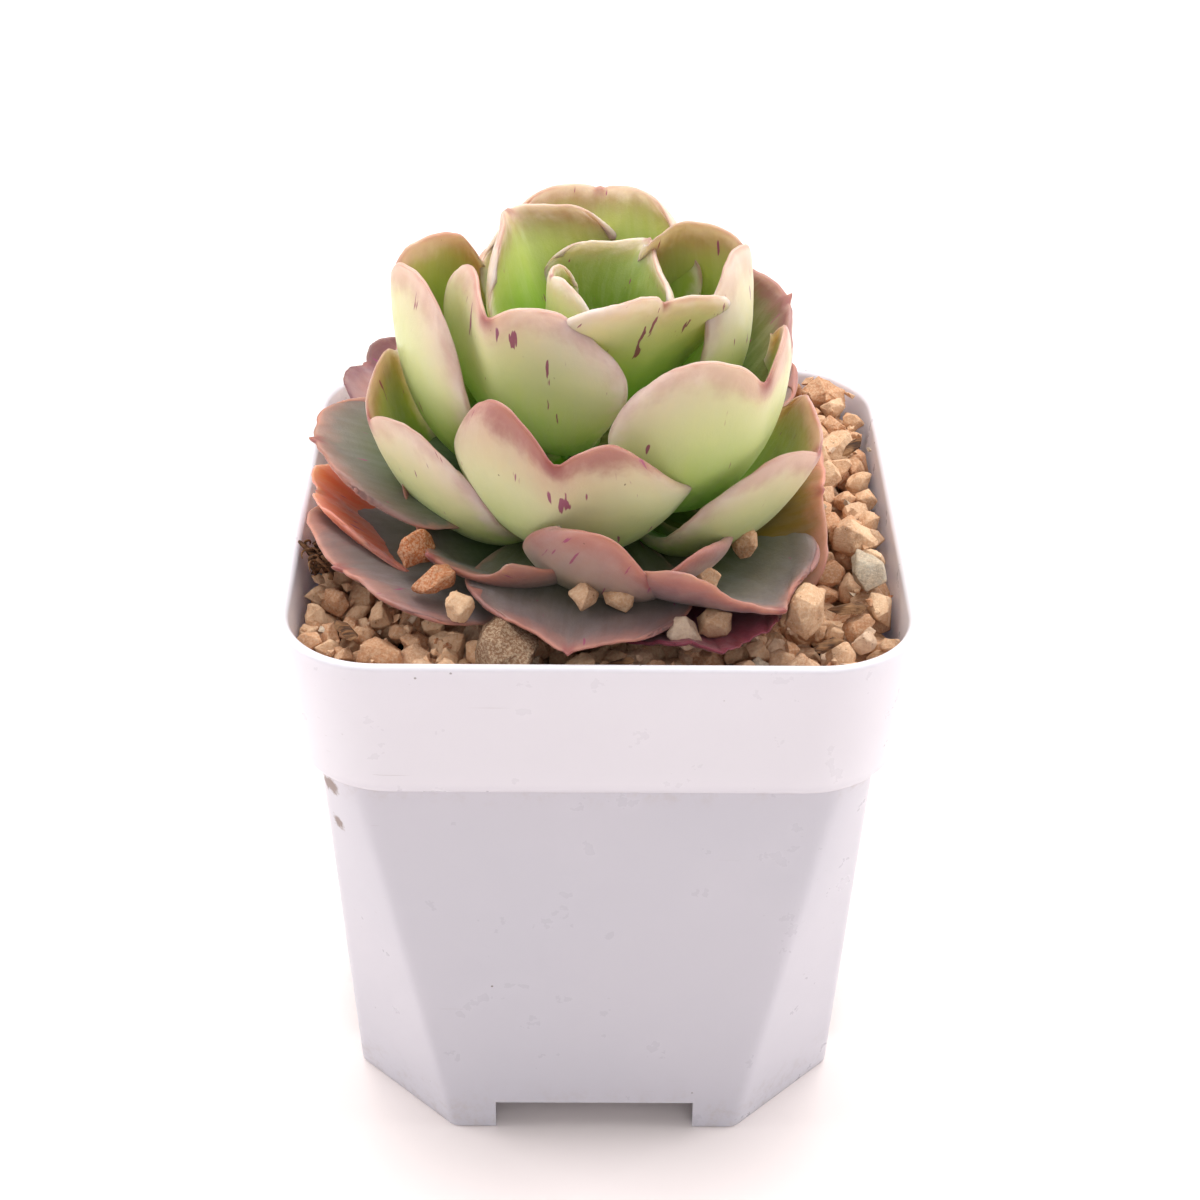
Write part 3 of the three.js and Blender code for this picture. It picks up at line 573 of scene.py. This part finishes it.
# -------------------- granules
def stone(rng, half, corners=12, worn=0.1, rough=0.0):
    """A broken granule: the hull of a few chance corners, with its edges a little worn."""
    k = np.arange(corners)
    level = 1 - (2 * k + 1) / corners
    around = k * 2.4 + rng.uniform(0, 6.28)
    flat = np.sqrt(1 - level**2)
    points = np.stack([flat * np.cos(around), flat * np.sin(around), level], -1)
    points += rng.normal(0, 0.3, points.shape)
    points /= np.linalg.norm(points, axis=1, keepdims=True)
    points *= rng.uniform(0.8, 1.16, (corners, 1)) * np.asarray(half)
    made = bmesh.new()
    verts = [made.verts.new(p) for p in points]
    spare = bmesh.ops.convex_hull(made, input=verts)
    spare = spare["geom_interior"] + spare["geom_unused"]
    loose = {v for v in spare if isinstance(v, bmesh.types.BMVert)}
    bmesh.ops.delete(made, geom=list(loose), context="VERTS")
    bmesh.ops.dissolve_limit(made, angle_limit=0.22, verts=made.verts[:], edges=made.edges[:])
    if worn:
        bmesh.ops.bevel(
            made, geom=made.edges[:], offset=worn * min(half), segments=2, profile=0.6,
            affect="EDGES", clamp_overlap=True,
        )
    bmesh.ops.triangulate(made, faces=made.faces[:])
    if rough:
        bmesh.ops.subdivide_edges(made, edges=made.edges[:], cuts=1, use_grid_fill=True)
        bmesh.ops.triangulate(made, faces=made.faces[:])
        made.normal_update()
        shift = Vector(rng.uniform(0, 50, 3))
        moves = [
            noise.noise(v.co * 0.9 + shift) + 0.5 * noise.noise(v.co * 2.3 + shift)
            for v in made.verts
        ]
        for v, move in zip(made.verts, moves):
            v.co += v.normal * move * rough * min(half)
    made.verts.index_update()
    points = np.array([v.co for v in made.verts])
    faces = np.array([[v.index for v in f.verts] for f in made.faces])
    made.free()
    return points, faces


def turned(points, rng, tip=1.0):
    """Spun about its own upright and tipped by up to `tip` radians."""
    spin = Euler((rng.uniform(-tip, tip), rng.uniform(-tip, tip), rng.uniform(0, 6.28)))
    return points @ np.array(spin.to_matrix()).T


class Heap:
    """Collects stones into one mesh, each with its own shade."""

    def __init__(self, name, material):
        self.name, self.material = name, material
        self.points, self.faces, self.shades, self.count = [], [], [], 0

    def add(self, points, faces, shade):
        self.points.append(points)
        self.faces.append(faces + self.count)
        self.shades.append(np.full(len(points), shade))
        self.count += len(points)

    def build(self, node, slot_name="granules"):
        """One piece for the whole heap, in place of a CAD node if one is given."""
        faces = np.concatenate(self.faces).tolist()
        piece = make_object(self.name, np.concatenate(self.points), faces, self.material)
        piece.data.set_sharp_from_angle(angle=CRISP)
        give(piece, "shade", np.concatenate(self.shades))
        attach(piece, "root")
        if node:
            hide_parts(node)


def granule_material():
    s = Shader("clay_granule")
    spot = s.coordinates()
    shade = s.attribute("shade")
    own = s.node("CombineXYZ")
    s.put(s.times(shade, 91), own.inputs["X"])
    spot = s.vector("ADD", spot, own.outputs["Vector"])
    ramp = s.node("ValToRGB")
    ramp.color_ramp.interpolation = "LINEAR"
    stops = [
        (0.0, (186, 112, 70)), (0.12, (206, 152, 114)), (0.36, (222, 178, 140)), (0.55, (230, 192, 156)),
        (0.72, (208, 164, 130)), (0.84, (238, 214, 190)), (0.92, (190, 178, 160)), (1.0, (140, 108, 84)),
    ]
    elements = ramp.color_ramp.elements
    elements[0].position, elements[0].color = stops[0][0], (*srgb(*stops[0][1]), 1)
    elements[1].position, elements[1].color = stops[-1][0], (*srgb(*stops[-1][1]), 1)
    for place, colour in stops[1:-1]:
        elements.new(place).color = (*srgb(*colour), 1)
    s.put(shade, ramp.inputs["Fac"])
    tint = ramp.outputs["Color"]
    blotch = s.ramp(s.noise(spot, 0.7, 4, 0.6), 0.35, 0.65)
    tint = s.mix(s.times(blotch, 0.3), tint, srgb(196, 150, 110), "MULTIPLY")
    crumbs = s.ramp(s.noise(spot, 3.2, 4, 0.7), 0.42, 0.62)
    tint = s.mix(s.times(crumbs, 0.35), tint, srgb(242, 220, 188))
    # dark pores: painted shade in the pits, which the bump also sinks in
    shaded_pits = s.ramp(s.noise(spot, 2.6, 3, 0.6), 0.64, 0.72)
    shaded_pits = s.times(shaded_pits, s.ramp(s.noise(spot, 0.7, 2), 0.4, 0.6))
    tint = s.mix(s.times(shaded_pits, 0.6), tint, srgb(112, 74, 48))
    s.set(Base_Color=tint, Roughness=0.88, Specular_IOR_Level=0.25)
    height = s.math("MULTIPLY_ADD", s.noise(spot, 2.4, 5, 0.7), 1.0, s.times(shaded_pits, -0.8))
    s.bump(height, 0.7, 0.35)
    return s.material


CLAY = granule_material()

# The lowest leaf surface over each square millimetre of the pot.
SPAN, NO_LEAF = 40, 200.0
low_leaf = np.full((2 * SPAN, 2 * SPAN), NO_LEAF)
for leaf in leaves:
    cell = np.floor(leaf.points[:, :2] + SPAN).astype(int)
    inside = (cell >= 0).all(axis=1) & (cell < 2 * SPAN).all(axis=1)
    np.minimum.at(low_leaf, (cell[inside, 0], cell[inside, 1]), leaf.points[inside, 2])


def room_above(x, y, reach):
    """Height of the lowest leaf within reach of a place."""
    i, j = int(x + SPAN), int(y + SPAN)
    r = int(math.ceil(reach))
    return low_leaf[max(i - r, 0) : i + r + 1, max(j - r, 0) : j + r + 1].min()


def wall_distance(x, y):
    """How far a point is inside the pot's inner wall."""
    half, corner = RIM_HALF - POT_WALL - 0.5, COLLAR_CORNER - POT_WALL
    a, b = abs(x) - (half - corner), abs(y) - (half - corner)
    if a > 0 and b > 0:
        return corner - math.hypot(a, b)
    return half - max(abs(x), abs(y))


def surface(x, y):
    """Height of the granules' tops, heaped to the back and the right."""
    heap = smoothstep(np.array(x), 9, 31) * smoothstep(np.array(y), -32, -6)
    return GRANULE_TOP - 0.3 + 1.1 * y / RIM_HALF + 2.3 * float(heap)


# The middle's place and its height over the granules' mean level, half-sizes along, across
# and up, and the shade.
NAMED_STONES = """
on_left_leaf     -20.2 -16.5 6.2 2.0 2.6 2.2 .00
left_leaf_edge   -17.6 -21.5 5.1 3.0 1.7 1.6 .03
left_tip         -14.9 -25.6 4.2 2.0 1.9 1.9 .50
front_leaf_left   -1.5 -24.6 5.2 2.4 1.6 1.6 .62
front_leaf_right   2.2 -25.0 5.0 2.0 1.3 1.4 .45
on_right_leaf     11.6 -20.4 4.8 1.9 1.8 2.3 .33
under_right_leaf  16.4 -12.2 4.6 2.3 1.8 2.0 .24
front_1            9.2 -27.4 2.2 2.0 1.9 2.0 .85
front_2           12.6 -25.8 2.4 2.4 2.0 1.8 .48
right_tan         22.4 -24.2 3.2 2.9 2.6 3.2 .42
right_grey        30.0 -14.2 2.0 2.9 2.2 2.3 .92
right_oblong      29.2  -6.8 1.8 3.0 2.2 2.1 .52
front_brown       -9.8 -28.2 0.6 4.6 3.8 3.8 1.0
"""
rng = np.random.default_rng(SEED)
taken = []
for line in NAMED_STONES.strip().splitlines():
    name, *numbers = line.split()
    x, y, over, long, wide, tall, shade = map(float, numbers)
    round_one = name == "front_brown"
    points, faces = stone(rng, (long, wide, tall), 40 if round_one else 20, 0.14, 0.12)
    points = turned(points, rng, 0.25) + [x, y, GRANULE_TOP + over]
    heap = Heap("look_stone_" + name, CLAY)
    heap.add(points, faces, shade)
    heap.build("stone_" + name)
    if over < 3.5:
        taken.append((x, y, max(long, wide)))

HEAPS = 8
heaps = [Heap(f"granules_{i + 1}", CLAY) for i in range(HEAPS)]
# The depth of each layer's middles under the surface, smallest and largest half-size, tries,
# closeness and wear of the edges.
LAYERS = [
    (6.2, 2.0, 2.9, 2600, 1.5, 0),
    (3.6, 1.7, 2.8, 3000, 1.45, 0.1),
    (1.2, 1.3, 3.0, 6000, 1.45, 0.1),
]
TOP_LAYER = 3
BED_HALF = 33
for depth, smallest, largest, tries, closeness, worn in LAYERS:
    placed = [(x, y, r) for x, y, r in taken if depth < TOP_LAYER]
    for _ in range(tries):
        x, y = rng.uniform(-BED_HALF, BED_HALF, 2)
        r = smallest + (largest - smallest) * rng.uniform() ** 1.4
        if wall_distance(x, y) < r * 0.92 or math.hypot(x, y) < STEM_RADIUS + r:
            continue
        if any((x - a) ** 2 + (y - b) ** 2 < ((r + c) * closeness / 2) ** 2 for a, b, c in placed):
            continue
        placed.append((x, y, r))
        half = r * np.array([1.2, rng.uniform(0.8, 1.1), rng.uniform(0.75, 1.0)])
        points, faces = stone(rng, half, int(rng.integers(12, 21)), worn, 0.16 if depth < TOP_LAYER else 0)
        points = turned(points, rng)
        z = surface(x, y) - depth + rng.uniform(-0.5, 0.9)
        z = min(z, room_above(x, y, r + 0.6) - points[:, 2].max() - 0.4)
        shade = rng.uniform(0.12, 0.8) if rng.uniform() < 0.84 else rng.uniform()
        heaps[int(rng.integers(HEAPS))].add(points + [x, y, z], faces, shade)
# grit that has settled on and between the granules
GRIT_TRIES = 420
for _ in range(GRIT_TRIES):
    x, y = rng.uniform(-BED_HALF, BED_HALF, 2)
    r = rng.uniform(0.3, 0.95)
    if wall_distance(x, y) < r or math.hypot(x, y) < STEM_RADIUS + r:
        continue
    points, faces = stone(rng, (r * 1.2, r, r * 0.8), 8, 0)
    z = min(surface(x, y) + rng.uniform(-1.2, 0.5), room_above(x, y, 1) - r - 0.3)
    heaps[int(rng.integers(HEAPS))].add(turned(points, rng) + [x, y, z], faces, rng.uniform())
for heap in heaps:
    heap.build("granule_bed")


# -------------------- bark and roots
def bark_material():
    s = Shader("bark_and_root")
    spot = s.coordinates()
    fibres = s.vector("MULTIPLY", spot, (0.25, 2.4, 2.4))
    streaks = s.ramp(s.noise(fibres, 1.0, 4, 0.6), 0.35, 0.68)
    tint = s.mix(streaks, srgb(58, 38, 26), srgb(128, 88, 56))
    tint = s.mix(s.ramp(s.noise(spot, 0.5, 2), 0.45, 0.7), tint, srgb(150, 112, 78))
    s.set(Base_Color=tint, Roughness=0.82, Specular_IOR_Level=0.3)
    s.bump(streaks, 0.6, 0.3)
    return s.material


BARK = bark_material()
# Each chip's place, half its length and width, and its turn.
BARK_CHIPS = [
    (27.5, -20.5, 69.6, 3.4, 1.3, 0.5), (24.6, -27.0, 68.8, 2.4, 1.0, -0.6),
    (-27.5, -24.5, 68.9, 2.8, 1.1, 1.1), (-30.8, -8.5, 69.6, 2.2, 1.0, 0.2),
    (19.5, 27.0, 71.0, 3.0, 1.2, 2.0), (-12.0, 30.0, 70.2, 2.6, 1.0, 0.9),
    (30.6, 12.5, 71.6, 2.4, 1.0, 1.4), (2.0, -30.6, 68.7, 2.0, 0.8, 0.3),
]
chips = Heap("bark_chips", BARK)
for x, y, z, long, wide, turn in BARK_CHIPS:
    points, faces = stone(rng, (long, wide, 0.5), 12, 0.1)
    points = turned(points, rng, 0.2) @ np.array(Matrix.Rotation(turn, 3, "Z"))
    chips.add(points + [x, y, z], faces, 0.3)
chips.build(None)


def strand(path, radius, sides=7):
    """A thin tapering root along a path of points."""
    path = np.asarray(path, float)
    way = np.gradient(path, axis=0)
    way /= np.linalg.norm(way, axis=1, keepdims=True)
    side = np.cross(way, [0.3, 0.2, 0.9])
    side /= np.linalg.norm(side, axis=1, keepdims=True)
    up = np.cross(way, side)
    angles = np.linspace(0, 2 * math.pi, sides, endpoint=False)
    taper = radius * (1 - 0.75 * np.linspace(0, 1, len(path)) ** 2)
    ring = np.cos(angles)[None, :, None] * side[:, None]
    ring = ring + np.sin(angles)[None, :, None] * up[:, None]
    points = path[:, None] + taper[:, None, None] * ring
    faces = []
    for i in range(len(path) - 1):
        for j in range(sides):
            a, b = i * sides + j, i * sides + (j + 1) % sides
            faces.append((a, b, b + sides, a + sides))
    faces.append(tuple(range(sides))[::-1])
    faces.append(tuple((len(path) - 1) * sides + j for j in range(sides)))
    return points.reshape(-1, 3), faces


ROOTS = 16
root_points, root_faces, start = [], [], 0
for i in range(ROOTS):
    home = np.array([-31.2 + rng.uniform(-1, 1), -12.5 + rng.uniform(-2.2, 2.2), 69.2])
    lean = rng.uniform(-1, 1, 2)
    t = np.linspace(0, 1, 12)[:, None]
    bend = np.hstack([lean[0] * t * 2 + 0.6 * np.sin(5 * t + i), lean[1] * t * 3, 2.4 * np.sin(2.4 * t)])
    points, faces = strand(home + bend, rng.uniform(0.16, 0.34))
    root_points.append(points)
    root_faces += [tuple(k + start for k in f) for f in faces]
    start += len(points)
roots = make_object("root_tuft", np.concatenate(root_points), root_faces, BARK)
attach(roots, "root")


# -------------------- pot
BODY_TAPER = 1.9
CORNER_CUT_TOP, CORNER_CUT_FOOT = 4.4, 12.0
RIM_ROUND, STEP_ROUND = 1.1, 0.45
FLOOR_UNDERSIDE, FLOOR_THICKNESS = 4.8, 1.5
NOTCH_WIDTH, NOTCH_HEIGHT = 23.8, 4.2
DRAIN_HOLE, DRAIN_SPACING = 7.0, 12.5
COLLAR_BOTTOM = POT_HEIGHT - COLLAR_HEIGHT
COLLAR_LOW_HALF = RIM_HALF - COLLAR_TAPER
BODY_TOP_HALF = COLLAR_LOW_HALF - COLLAR_STEP
FOOT_HALF = BODY_TOP_HALF - BODY_TAPER
FLOOR_TOP = FLOOR_UNDERSIDE + FLOOR_THICKNESS
# Points around each ring, and in each of its corners.
AROUND, CORNER_POINTS = 520, 25


def crossed(a, b):
    return a[:, 0] * b[:, 1] - a[:, 1] * b[:, 0]


def section(half, corner, bulge, z):
    """A square ring of points with cut corners (bulge 0) or round ones (bulge 1)."""
    t = np.linspace(0, 1, CORNER_POINTS)
    arc = np.stack([np.cos(t * math.pi / 2), np.sin(t * math.pi / 2)], -1)
    flat = np.stack([half - corner * t, half - corner * (1 - t)], -1)
    quarter = flat * (1 - bulge) + (half - corner + corner * arc) * bulge
    angle = np.arctan2(quarter[:, 1], quarter[:, 0])
    theta = np.arange(AROUND) * 2 * math.pi / AROUND
    local = theta % (math.pi / 2)
    line = half / np.maximum(np.cos(local), np.sin(local))
    inside = (local > angle[0]) & (local < angle[-1])
    # between two of the corner's points, on the straight line that joins them
    k = np.clip(np.searchsorted(angle, local) - 1, 0, len(angle) - 2)
    p, q = quarter[k], quarter[k + 1]
    way = np.stack([np.cos(local), np.sin(local)], -1)
    edge = q - p
    bent = crossed(p, edge) / crossed(way, edge)
    radius = np.where(inside, bent, line)
    # averaged twice with the neighbours, so that no edge is razor sharp
    kernel = np.ones(3) / 3
    for _ in range(2):
        radius = np.convolve(np.concatenate([radius[-1:], radius, radius[:1]]), kernel, "valid")
    return np.stack([radius * np.cos(theta), radius * np.sin(theta), np.full(AROUND, z)], -1)


def body_ring(z, inset=0.0):
    """A ring of the pot's body, moved in by the inset."""
    t = min(max(z / COLLAR_BOTTOM, 0), 1)
    half = FOOT_HALF + (BODY_TOP_HALF - FOOT_HALF) * t - inset
    corner = CORNER_CUT_FOOT + (CORNER_CUT_TOP - CORNER_CUT_FOOT) * t - inset * (2 - math.sqrt(2))
    return section(half, corner, 0.35 * t**3, z)


def collar_ring(z, inset=0.0):
    """A ring of the collar, moved in by the inset."""
    t = min(max((z - COLLAR_BOTTOM) / COLLAR_HEIGHT, 0), 1)
    half = COLLAR_LOW_HALF + (RIM_HALF - COLLAR_LOW_HALF) * t
    corner = COLLAR_CORNER - inset - (RIM_HALF - half) * 0.4
    return section(half - inset, corner, 1, z)


def pot_rings():
    """Rings from the floor's top up the inside, over the rim, down the outside and under."""
    rings = [body_ring(FLOOR_TOP, POT_WALL + 0.9), body_ring(FLOOR_TOP + 0.9, POT_WALL)]
    inside = COLLAR_BOTTOM + POT_WALL
    rings += [body_ring(z, POT_WALL) for z in np.linspace(12, inside - 0.2, 8)]
    rings.append(collar_ring(inside, POT_WALL + RIM_ROUND))
    rings += [collar_ring(z, POT_WALL) for z in (inside + 0.5, inside + 1.2, 60, 65)]
    lip = POT_WALL / 2
    for turn in np.linspace(math.pi, 0, 11):
        z = POT_HEIGHT - lip + lip * math.sin(turn)
        rings.append(collar_ring(z, lip * (1 - math.cos(turn))))
    rings += [collar_ring(z) for z in (67.5, 64, 60, 57, 55.5)]
    for turn in np.linspace(math.pi / 2, 0, 8):
        inset = RIM_ROUND * (1 - math.sin(turn))
        rings.append(collar_ring(COLLAR_BOTTOM + RIM_ROUND * (1 - math.cos(turn)), inset))
    rings.append(body_ring(COLLAR_BOTTOM, -STEP_ROUND))
    for turn in np.linspace(0.2, math.pi / 2, 5):
        z = COLLAR_BOTTOM - STEP_ROUND + STEP_ROUND * math.cos(turn)
        rings.append(body_ring(z - 0.01, -STEP_ROUND * (1 - math.sin(turn))))
    rings += [body_ring(z) for z in np.linspace(51, 1, 22)]
    rings += [body_ring(0.25, 0.03), body_ring(0.0, 0.25), body_ring(0.0, POT_WALL - 0.2)]
    rings += [body_ring(0.3, POT_WALL), body_ring(2.5, POT_WALL), body_ring(4.2, POT_WALL)]
    rings.append(body_ring(FLOOR_UNDERSIDE, POT_WALL + 0.6))
    return rings


def lofted(name, rings, material):
    """A closed skin through rings of equal length, capped flat at both ends."""
    count = len(rings[0])
    points = np.concatenate(rings)
    faces = []
    for i in range(len(rings) - 1):
        a = i * count
        for j in range(count):
            k = (j + 1) % count
            faces.append((a + j, a + k, a + count + k, a + count + j))
    faces.append(tuple(range(count))[::-1])
    faces.append(tuple(range((len(rings) - 1) * count, len(rings) * count)))
    return make_object(name, points, faces, material)


def block(name, size, at):
    """A temporary cutter."""
    made = bmesh.new()
    bmesh.ops.create_cube(made, size=1)
    for v in made.verts:
        v.co = Vector(a * b + c for a, b, c in zip(v.co, size, at)) * MM
    return cutter(name, made)


def rod(name, radius, low, high, at):
    """A temporary round cutter."""
    radius, depth = radius * MM, (high - low) * MM
    made = bmesh.new()
    bmesh.ops.create_cone(
        made, cap_ends=True, segments=48, radius1=radius, radius2=radius, depth=depth
    )
    for v in made.verts:
        v.co += Vector((at[0], at[1], (low + high) / 2)) * MM
    return cutter(name, made)


def cutter(name, made):
    mesh = bpy.data.meshes.new(name)
    made.to_mesh(mesh)
    made.free()
    piece = bpy.data.objects.new(name, mesh)
    bpy.context.scene.collection.objects.link(piece)
    return piece


def carve(piece, cutters):
    """Takes the cutters out of the piece and throws them away."""
    for tool in cutters:
        step = piece.modifiers.new("carve", "BOOLEAN")
        step.object, step.operation, step.solver = tool, "DIFFERENCE", "EXACT"
    graph = bpy.context.evaluated_depsgraph_get()
    mesh = bpy.data.meshes.new_from_object(piece.evaluated_get(graph))
    piece.modifiers.clear()
    piece.data = mesh
    for tool in cutters:
        bpy.data.objects.remove(tool)


# Where each crumb of mud on the pot is, and its size.
CRUMBS = [((-29.4, -27.3, 50.4), 1.7), ((-29.2, -27.0, 44.6), 1.3)]


def pot_material():
    s = Shader("white_pot_plastic")
    spot = s.coordinates()
    height = s.node("SeparateXYZ")
    s.put(spot, height.inputs[0])
    z = height.outputs["Z"]
    # painted light and shade: one plastic, with the collar painted lighter and pinker as if lit from above
    # through the rim, and the body below painted darker and greyer
    collar = s.ramp(z, 53, 55)
    tint = s.mix(collar, srgb(201, 200, 209), srgb(226, 224, 231))
    clouds = s.ramp(s.noise(spot, 0.035, 3), 0.35, 0.65)
    tint = s.mix(s.times(clouds, 0.15), tint, srgb(214, 209, 216))
    # darker, browner patches towards the foot, and painted shade in patches on the band just under the
    # collar's overhang
    low = s.ramp(z, 9, 0)
    under = s.times(s.ramp(z, 49, 53), s.ramp(z, 54, 53.3))
    patchy = s.ramp(s.noise(spot, 0.5, 4, 0.7), 0.45, 0.75)
    foot_patches_and_collar_shade = s.times(s.math("MAXIMUM", low, under), patchy)
    tint = s.mix(s.times(foot_patches_and_collar_shade, 0.32), tint, srgb(176, 160, 142))
    # dark specks, more of them at the rim
    specks = s.ramp(s.cells(spot, 0.42), 0.07, 0.045)
    chosen = s.ramp(s.noise(spot, 0.13, 2), 0.60, 0.64)
    at_rim = s.times(s.ramp(z, 68.5, 70.2), s.ramp(s.noise(spot, 0.3, 2), 0.40, 0.48))
    chosen = s.math("MAXIMUM", chosen, at_rim)
    specks = s.times(specks, chosen)
    tint = s.mix(s.times(specks, 0.8), tint, srgb(84, 62, 50))
    # smears of dried mud
    blot, where = s.noise(spot, 0.2, 4, 0.7), s.noise(spot, 0.05, 2)
    smear = s.times(s.ramp(blot, 0.72, 0.82), s.ramp(where, 0.52, 0.62))
    tint = s.mix(s.times(smear, 0.2), tint, srgb(176, 160, 150))
    # two crumbs of dried mud under the collar
    for place, size in CRUMBS:
        away = s.node("VectorMath", operation="DISTANCE")
        s.put(spot, away.inputs[0])
        s.put(place, away.inputs[1])
        crumb = s.math("MULTIPLY_ADD", s.noise(spot, 1.1, 4, 0.7), 2.6, away.outputs["Value"])
        crumb = s.ramp(crumb, size + 1.2, size + 0.5)
        smear = s.math("MAXIMUM", smear, crumb)
        tint = s.mix(s.times(crumb, 0.75), tint, srgb(128, 104, 88))
    # thin slanted scratches
    slanted = s.node("Mapping")
    slanted.inputs["Rotation"].default_value = (0.3, 0.5, 0.4)
    slanted.inputs["Scale"].default_value = (0.05, 0.9, 2.6)
    s.put(spot, slanted.inputs["Vector"])
    scratch = s.ramp(s.noise(slanted.outputs["Vector"], 1.6, 2, 0.4), 0.745, 0.755)
    scratch = s.times(scratch, s.ramp(s.noise(spot, 0.06, 2), 0.5, 0.58))
    tint = s.mix(s.times(scratch, 0.35), tint, srgb(176, 170, 172))
    rough = s.math("MULTIPLY_ADD", s.noise(spot, 0.25, 4, 0.6), 0.22, 0.2)
    # rougher on the patches towards the foot, on the band of painted shade under the collar, and on the
    # smears
    rough = s.math("MULTIPLY_ADD", s.math("MAXIMUM", foot_patches_and_collar_shade, smear), 0.35, rough, clamp=True)
    s.set(Base_Color=tint, Roughness=rough, IOR=1.49)
    s.set(Subsurface_Weight=0.3, Subsurface_Radius=(1.0, 0.96, 1.0), Subsurface_Scale=1.6 * MM)
    waves = s.noise(spot, 0.06, 2)
    grain = s.noise(spot, 3.0, 2)
    relief = s.math("MULTIPLY_ADD", waves, 6.0, s.times(grain, 0.12))
    relief = s.math("ADD", relief, s.times(specks, 0.6))
    relief = s.math("SUBTRACT", relief, s.times(scratch, 0.3))
    s.bump(relief, 0.35, 0.12)
    return s.material


pot = lofted("look_pot", pot_rings(), pot_material())
PAST_THE_POT = 90
tools = [
    block("notch_a", (NOTCH_WIDTH, PAST_THE_POT, 2 * NOTCH_HEIGHT), (0, 0, 0)),
    block("notch_b", (PAST_THE_POT, NOTCH_WIDTH, 2 * NOTCH_HEIGHT), (0, 0, 0)),
]
for i, (a, b) in enumerate([(0, 0), (1, 0), (-1, 0), (0, 1), (0, -1)]):
    at = (a * DRAIN_SPACING, b * DRAIN_SPACING)
    tools.append(rod(f"drain_{i}", DRAIN_HOLE / 2, 3, 8, at))
carve(pot, tools)
pot.data.polygons.foreach_set("use_smooth", [True] * len(pot.data.polygons))
pot.data.set_sharp_from_angle(angle=CRISP)
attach(pot, "root")
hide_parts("pot")


# -------------------- stem and potting mix
def stem_material():
    s = Shader("green_stem")
    spot = s.coordinates()
    rings = s.noise(s.vector("MULTIPLY", spot, (0.5, 0.5, 2.0)), 0.9, 3)
    tint = s.mix(s.ramp(rings, 0.35, 0.65), srgb(118, 122, 62), srgb(152, 146, 88))
    s.set(Base_Color=tint, Roughness=0.7)
    s.bump(rings, 0.5, 0.4)
    return s.material


def peat_material():
    s = Shader("potting_mix_peat")
    spot = s.coordinates()
    crumbs = s.cells(spot, 0.55)
    fibres = s.noise(spot, 1.4, 5, 0.7)
    tint = s.mix(s.ramp(crumbs, 0.2, 0.8), srgb(66, 46, 32), srgb(30, 20, 14))
    tint = s.mix(s.ramp(fibres, 0.56, 0.66), tint, srgb(112, 84, 56))
    s.set(Base_Color=tint, Roughness=0.95, Specular_IOR_Level=0.15)
    s.bump(s.math("SUBTRACT", fibres, crumbs), 0.9, 0.8)
    return s.material


for node, material in (("stem", stem_material()), ("potting_mix", peat_material())):
    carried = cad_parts[node]
    carried.data.materials.clear()
    carried.data.materials.append(material)

# -------------------- floor, light and camera
floor_skin = Shader("pale_floor")
mottle = floor_skin.noise(floor_skin.coordinates(), 0.02, 2)
floor_tint = floor_skin.mix(mottle, srgb(252, 241, 238), srgb(253, 244, 241))
floor_skin.set(Base_Color=floor_tint, Roughness=0.6, Specular_IOR_Level=0.2)
FLOOR_REACH = 4000
floor_corners = [(a * FLOOR_REACH, b * FLOOR_REACH, 0) for a, b in [(-1, -1), (1, -1), (1, 1), (-1, 1)]]
floor = make_object("floor", floor_corners, [(0, 1, 2, 3)], floor_skin.material)

world = bpy.data.worlds.new("studio")
world.use_nodes = True
bpy.context.scene.world = world
sky = world.node_tree.nodes["Background"]
sky.inputs["Color"].default_value = (1.0, 0.985, 1.0, 1)
sky.inputs["Strength"].default_value = 0.42


def softbox(name, place, aim, size, power, colour=(1, 1, 1)):
    """A round studio light, placed and sized in metres, aimed at a point."""
    light = bpy.data.lights.new(name, "AREA")
    light.shape, light.size, light.energy, light.color = "DISK", size, power, colour
    lamp = bpy.data.objects.new(name, light)
    lamp.location = place
    lamp.rotation_euler = (Vector(aim) - Vector(place)).to_track_quat("-Z", "Y").to_euler()
    bpy.context.scene.collection.objects.link(lamp)


PLANT = (0.0, 0.0, 0.085)
softbox("top_back", (0.0, 0.26, 0.76), PLANT, 0.8, 7.4, (1.0, 0.99, 0.97))
softbox("left", (-0.6, 0.05, 0.4), PLANT, 0.5, 2.3)
softbox("right", (0.6, 0.05, 0.4), PLANT, 0.5, 2.2)
softbox("front_fill", (0.1, -0.7, 0.6), PLANT, 0.6, 1.1)

# The camera looks down at the pot from the front, turned and rolled a little. In radians.
CAMERA_PLACE = Vector((-1.858, -256.338, 219.283)) * MM
DOWN, TURN, ROLL = math.radians(32.26), 0.0085, -0.0101
ahead = Vector((math.sin(TURN) * math.cos(DOWN), math.cos(TURN) * math.cos(DOWN), -math.sin(DOWN)))
level = Vector((math.cos(TURN), -math.sin(TURN), 0))
below = ahead.cross(level)
right = level * math.cos(ROLL) + below * math.sin(ROLL)
down = below * math.cos(ROLL) - level * math.sin(ROLL)
lens = bpy.data.cameras.new("camera")
lens.lens, lens.sensor_width, lens.clip_start, lens.clip_end = 76.37, 36, 0.01, 20
camera = bpy.data.objects.new("camera", lens)
facing = Matrix((right, -down, -ahead)).transposed().to_4x4()
camera.matrix_world = Matrix.Translation(CAMERA_PLACE) @ facing
bpy.context.scene.collection.objects.link(camera)
bpy.context.scene.camera = camera
bpy.context.scene.view_settings.view_transform = "Standard"
bpy.context.scene.view_settings.look = "None"
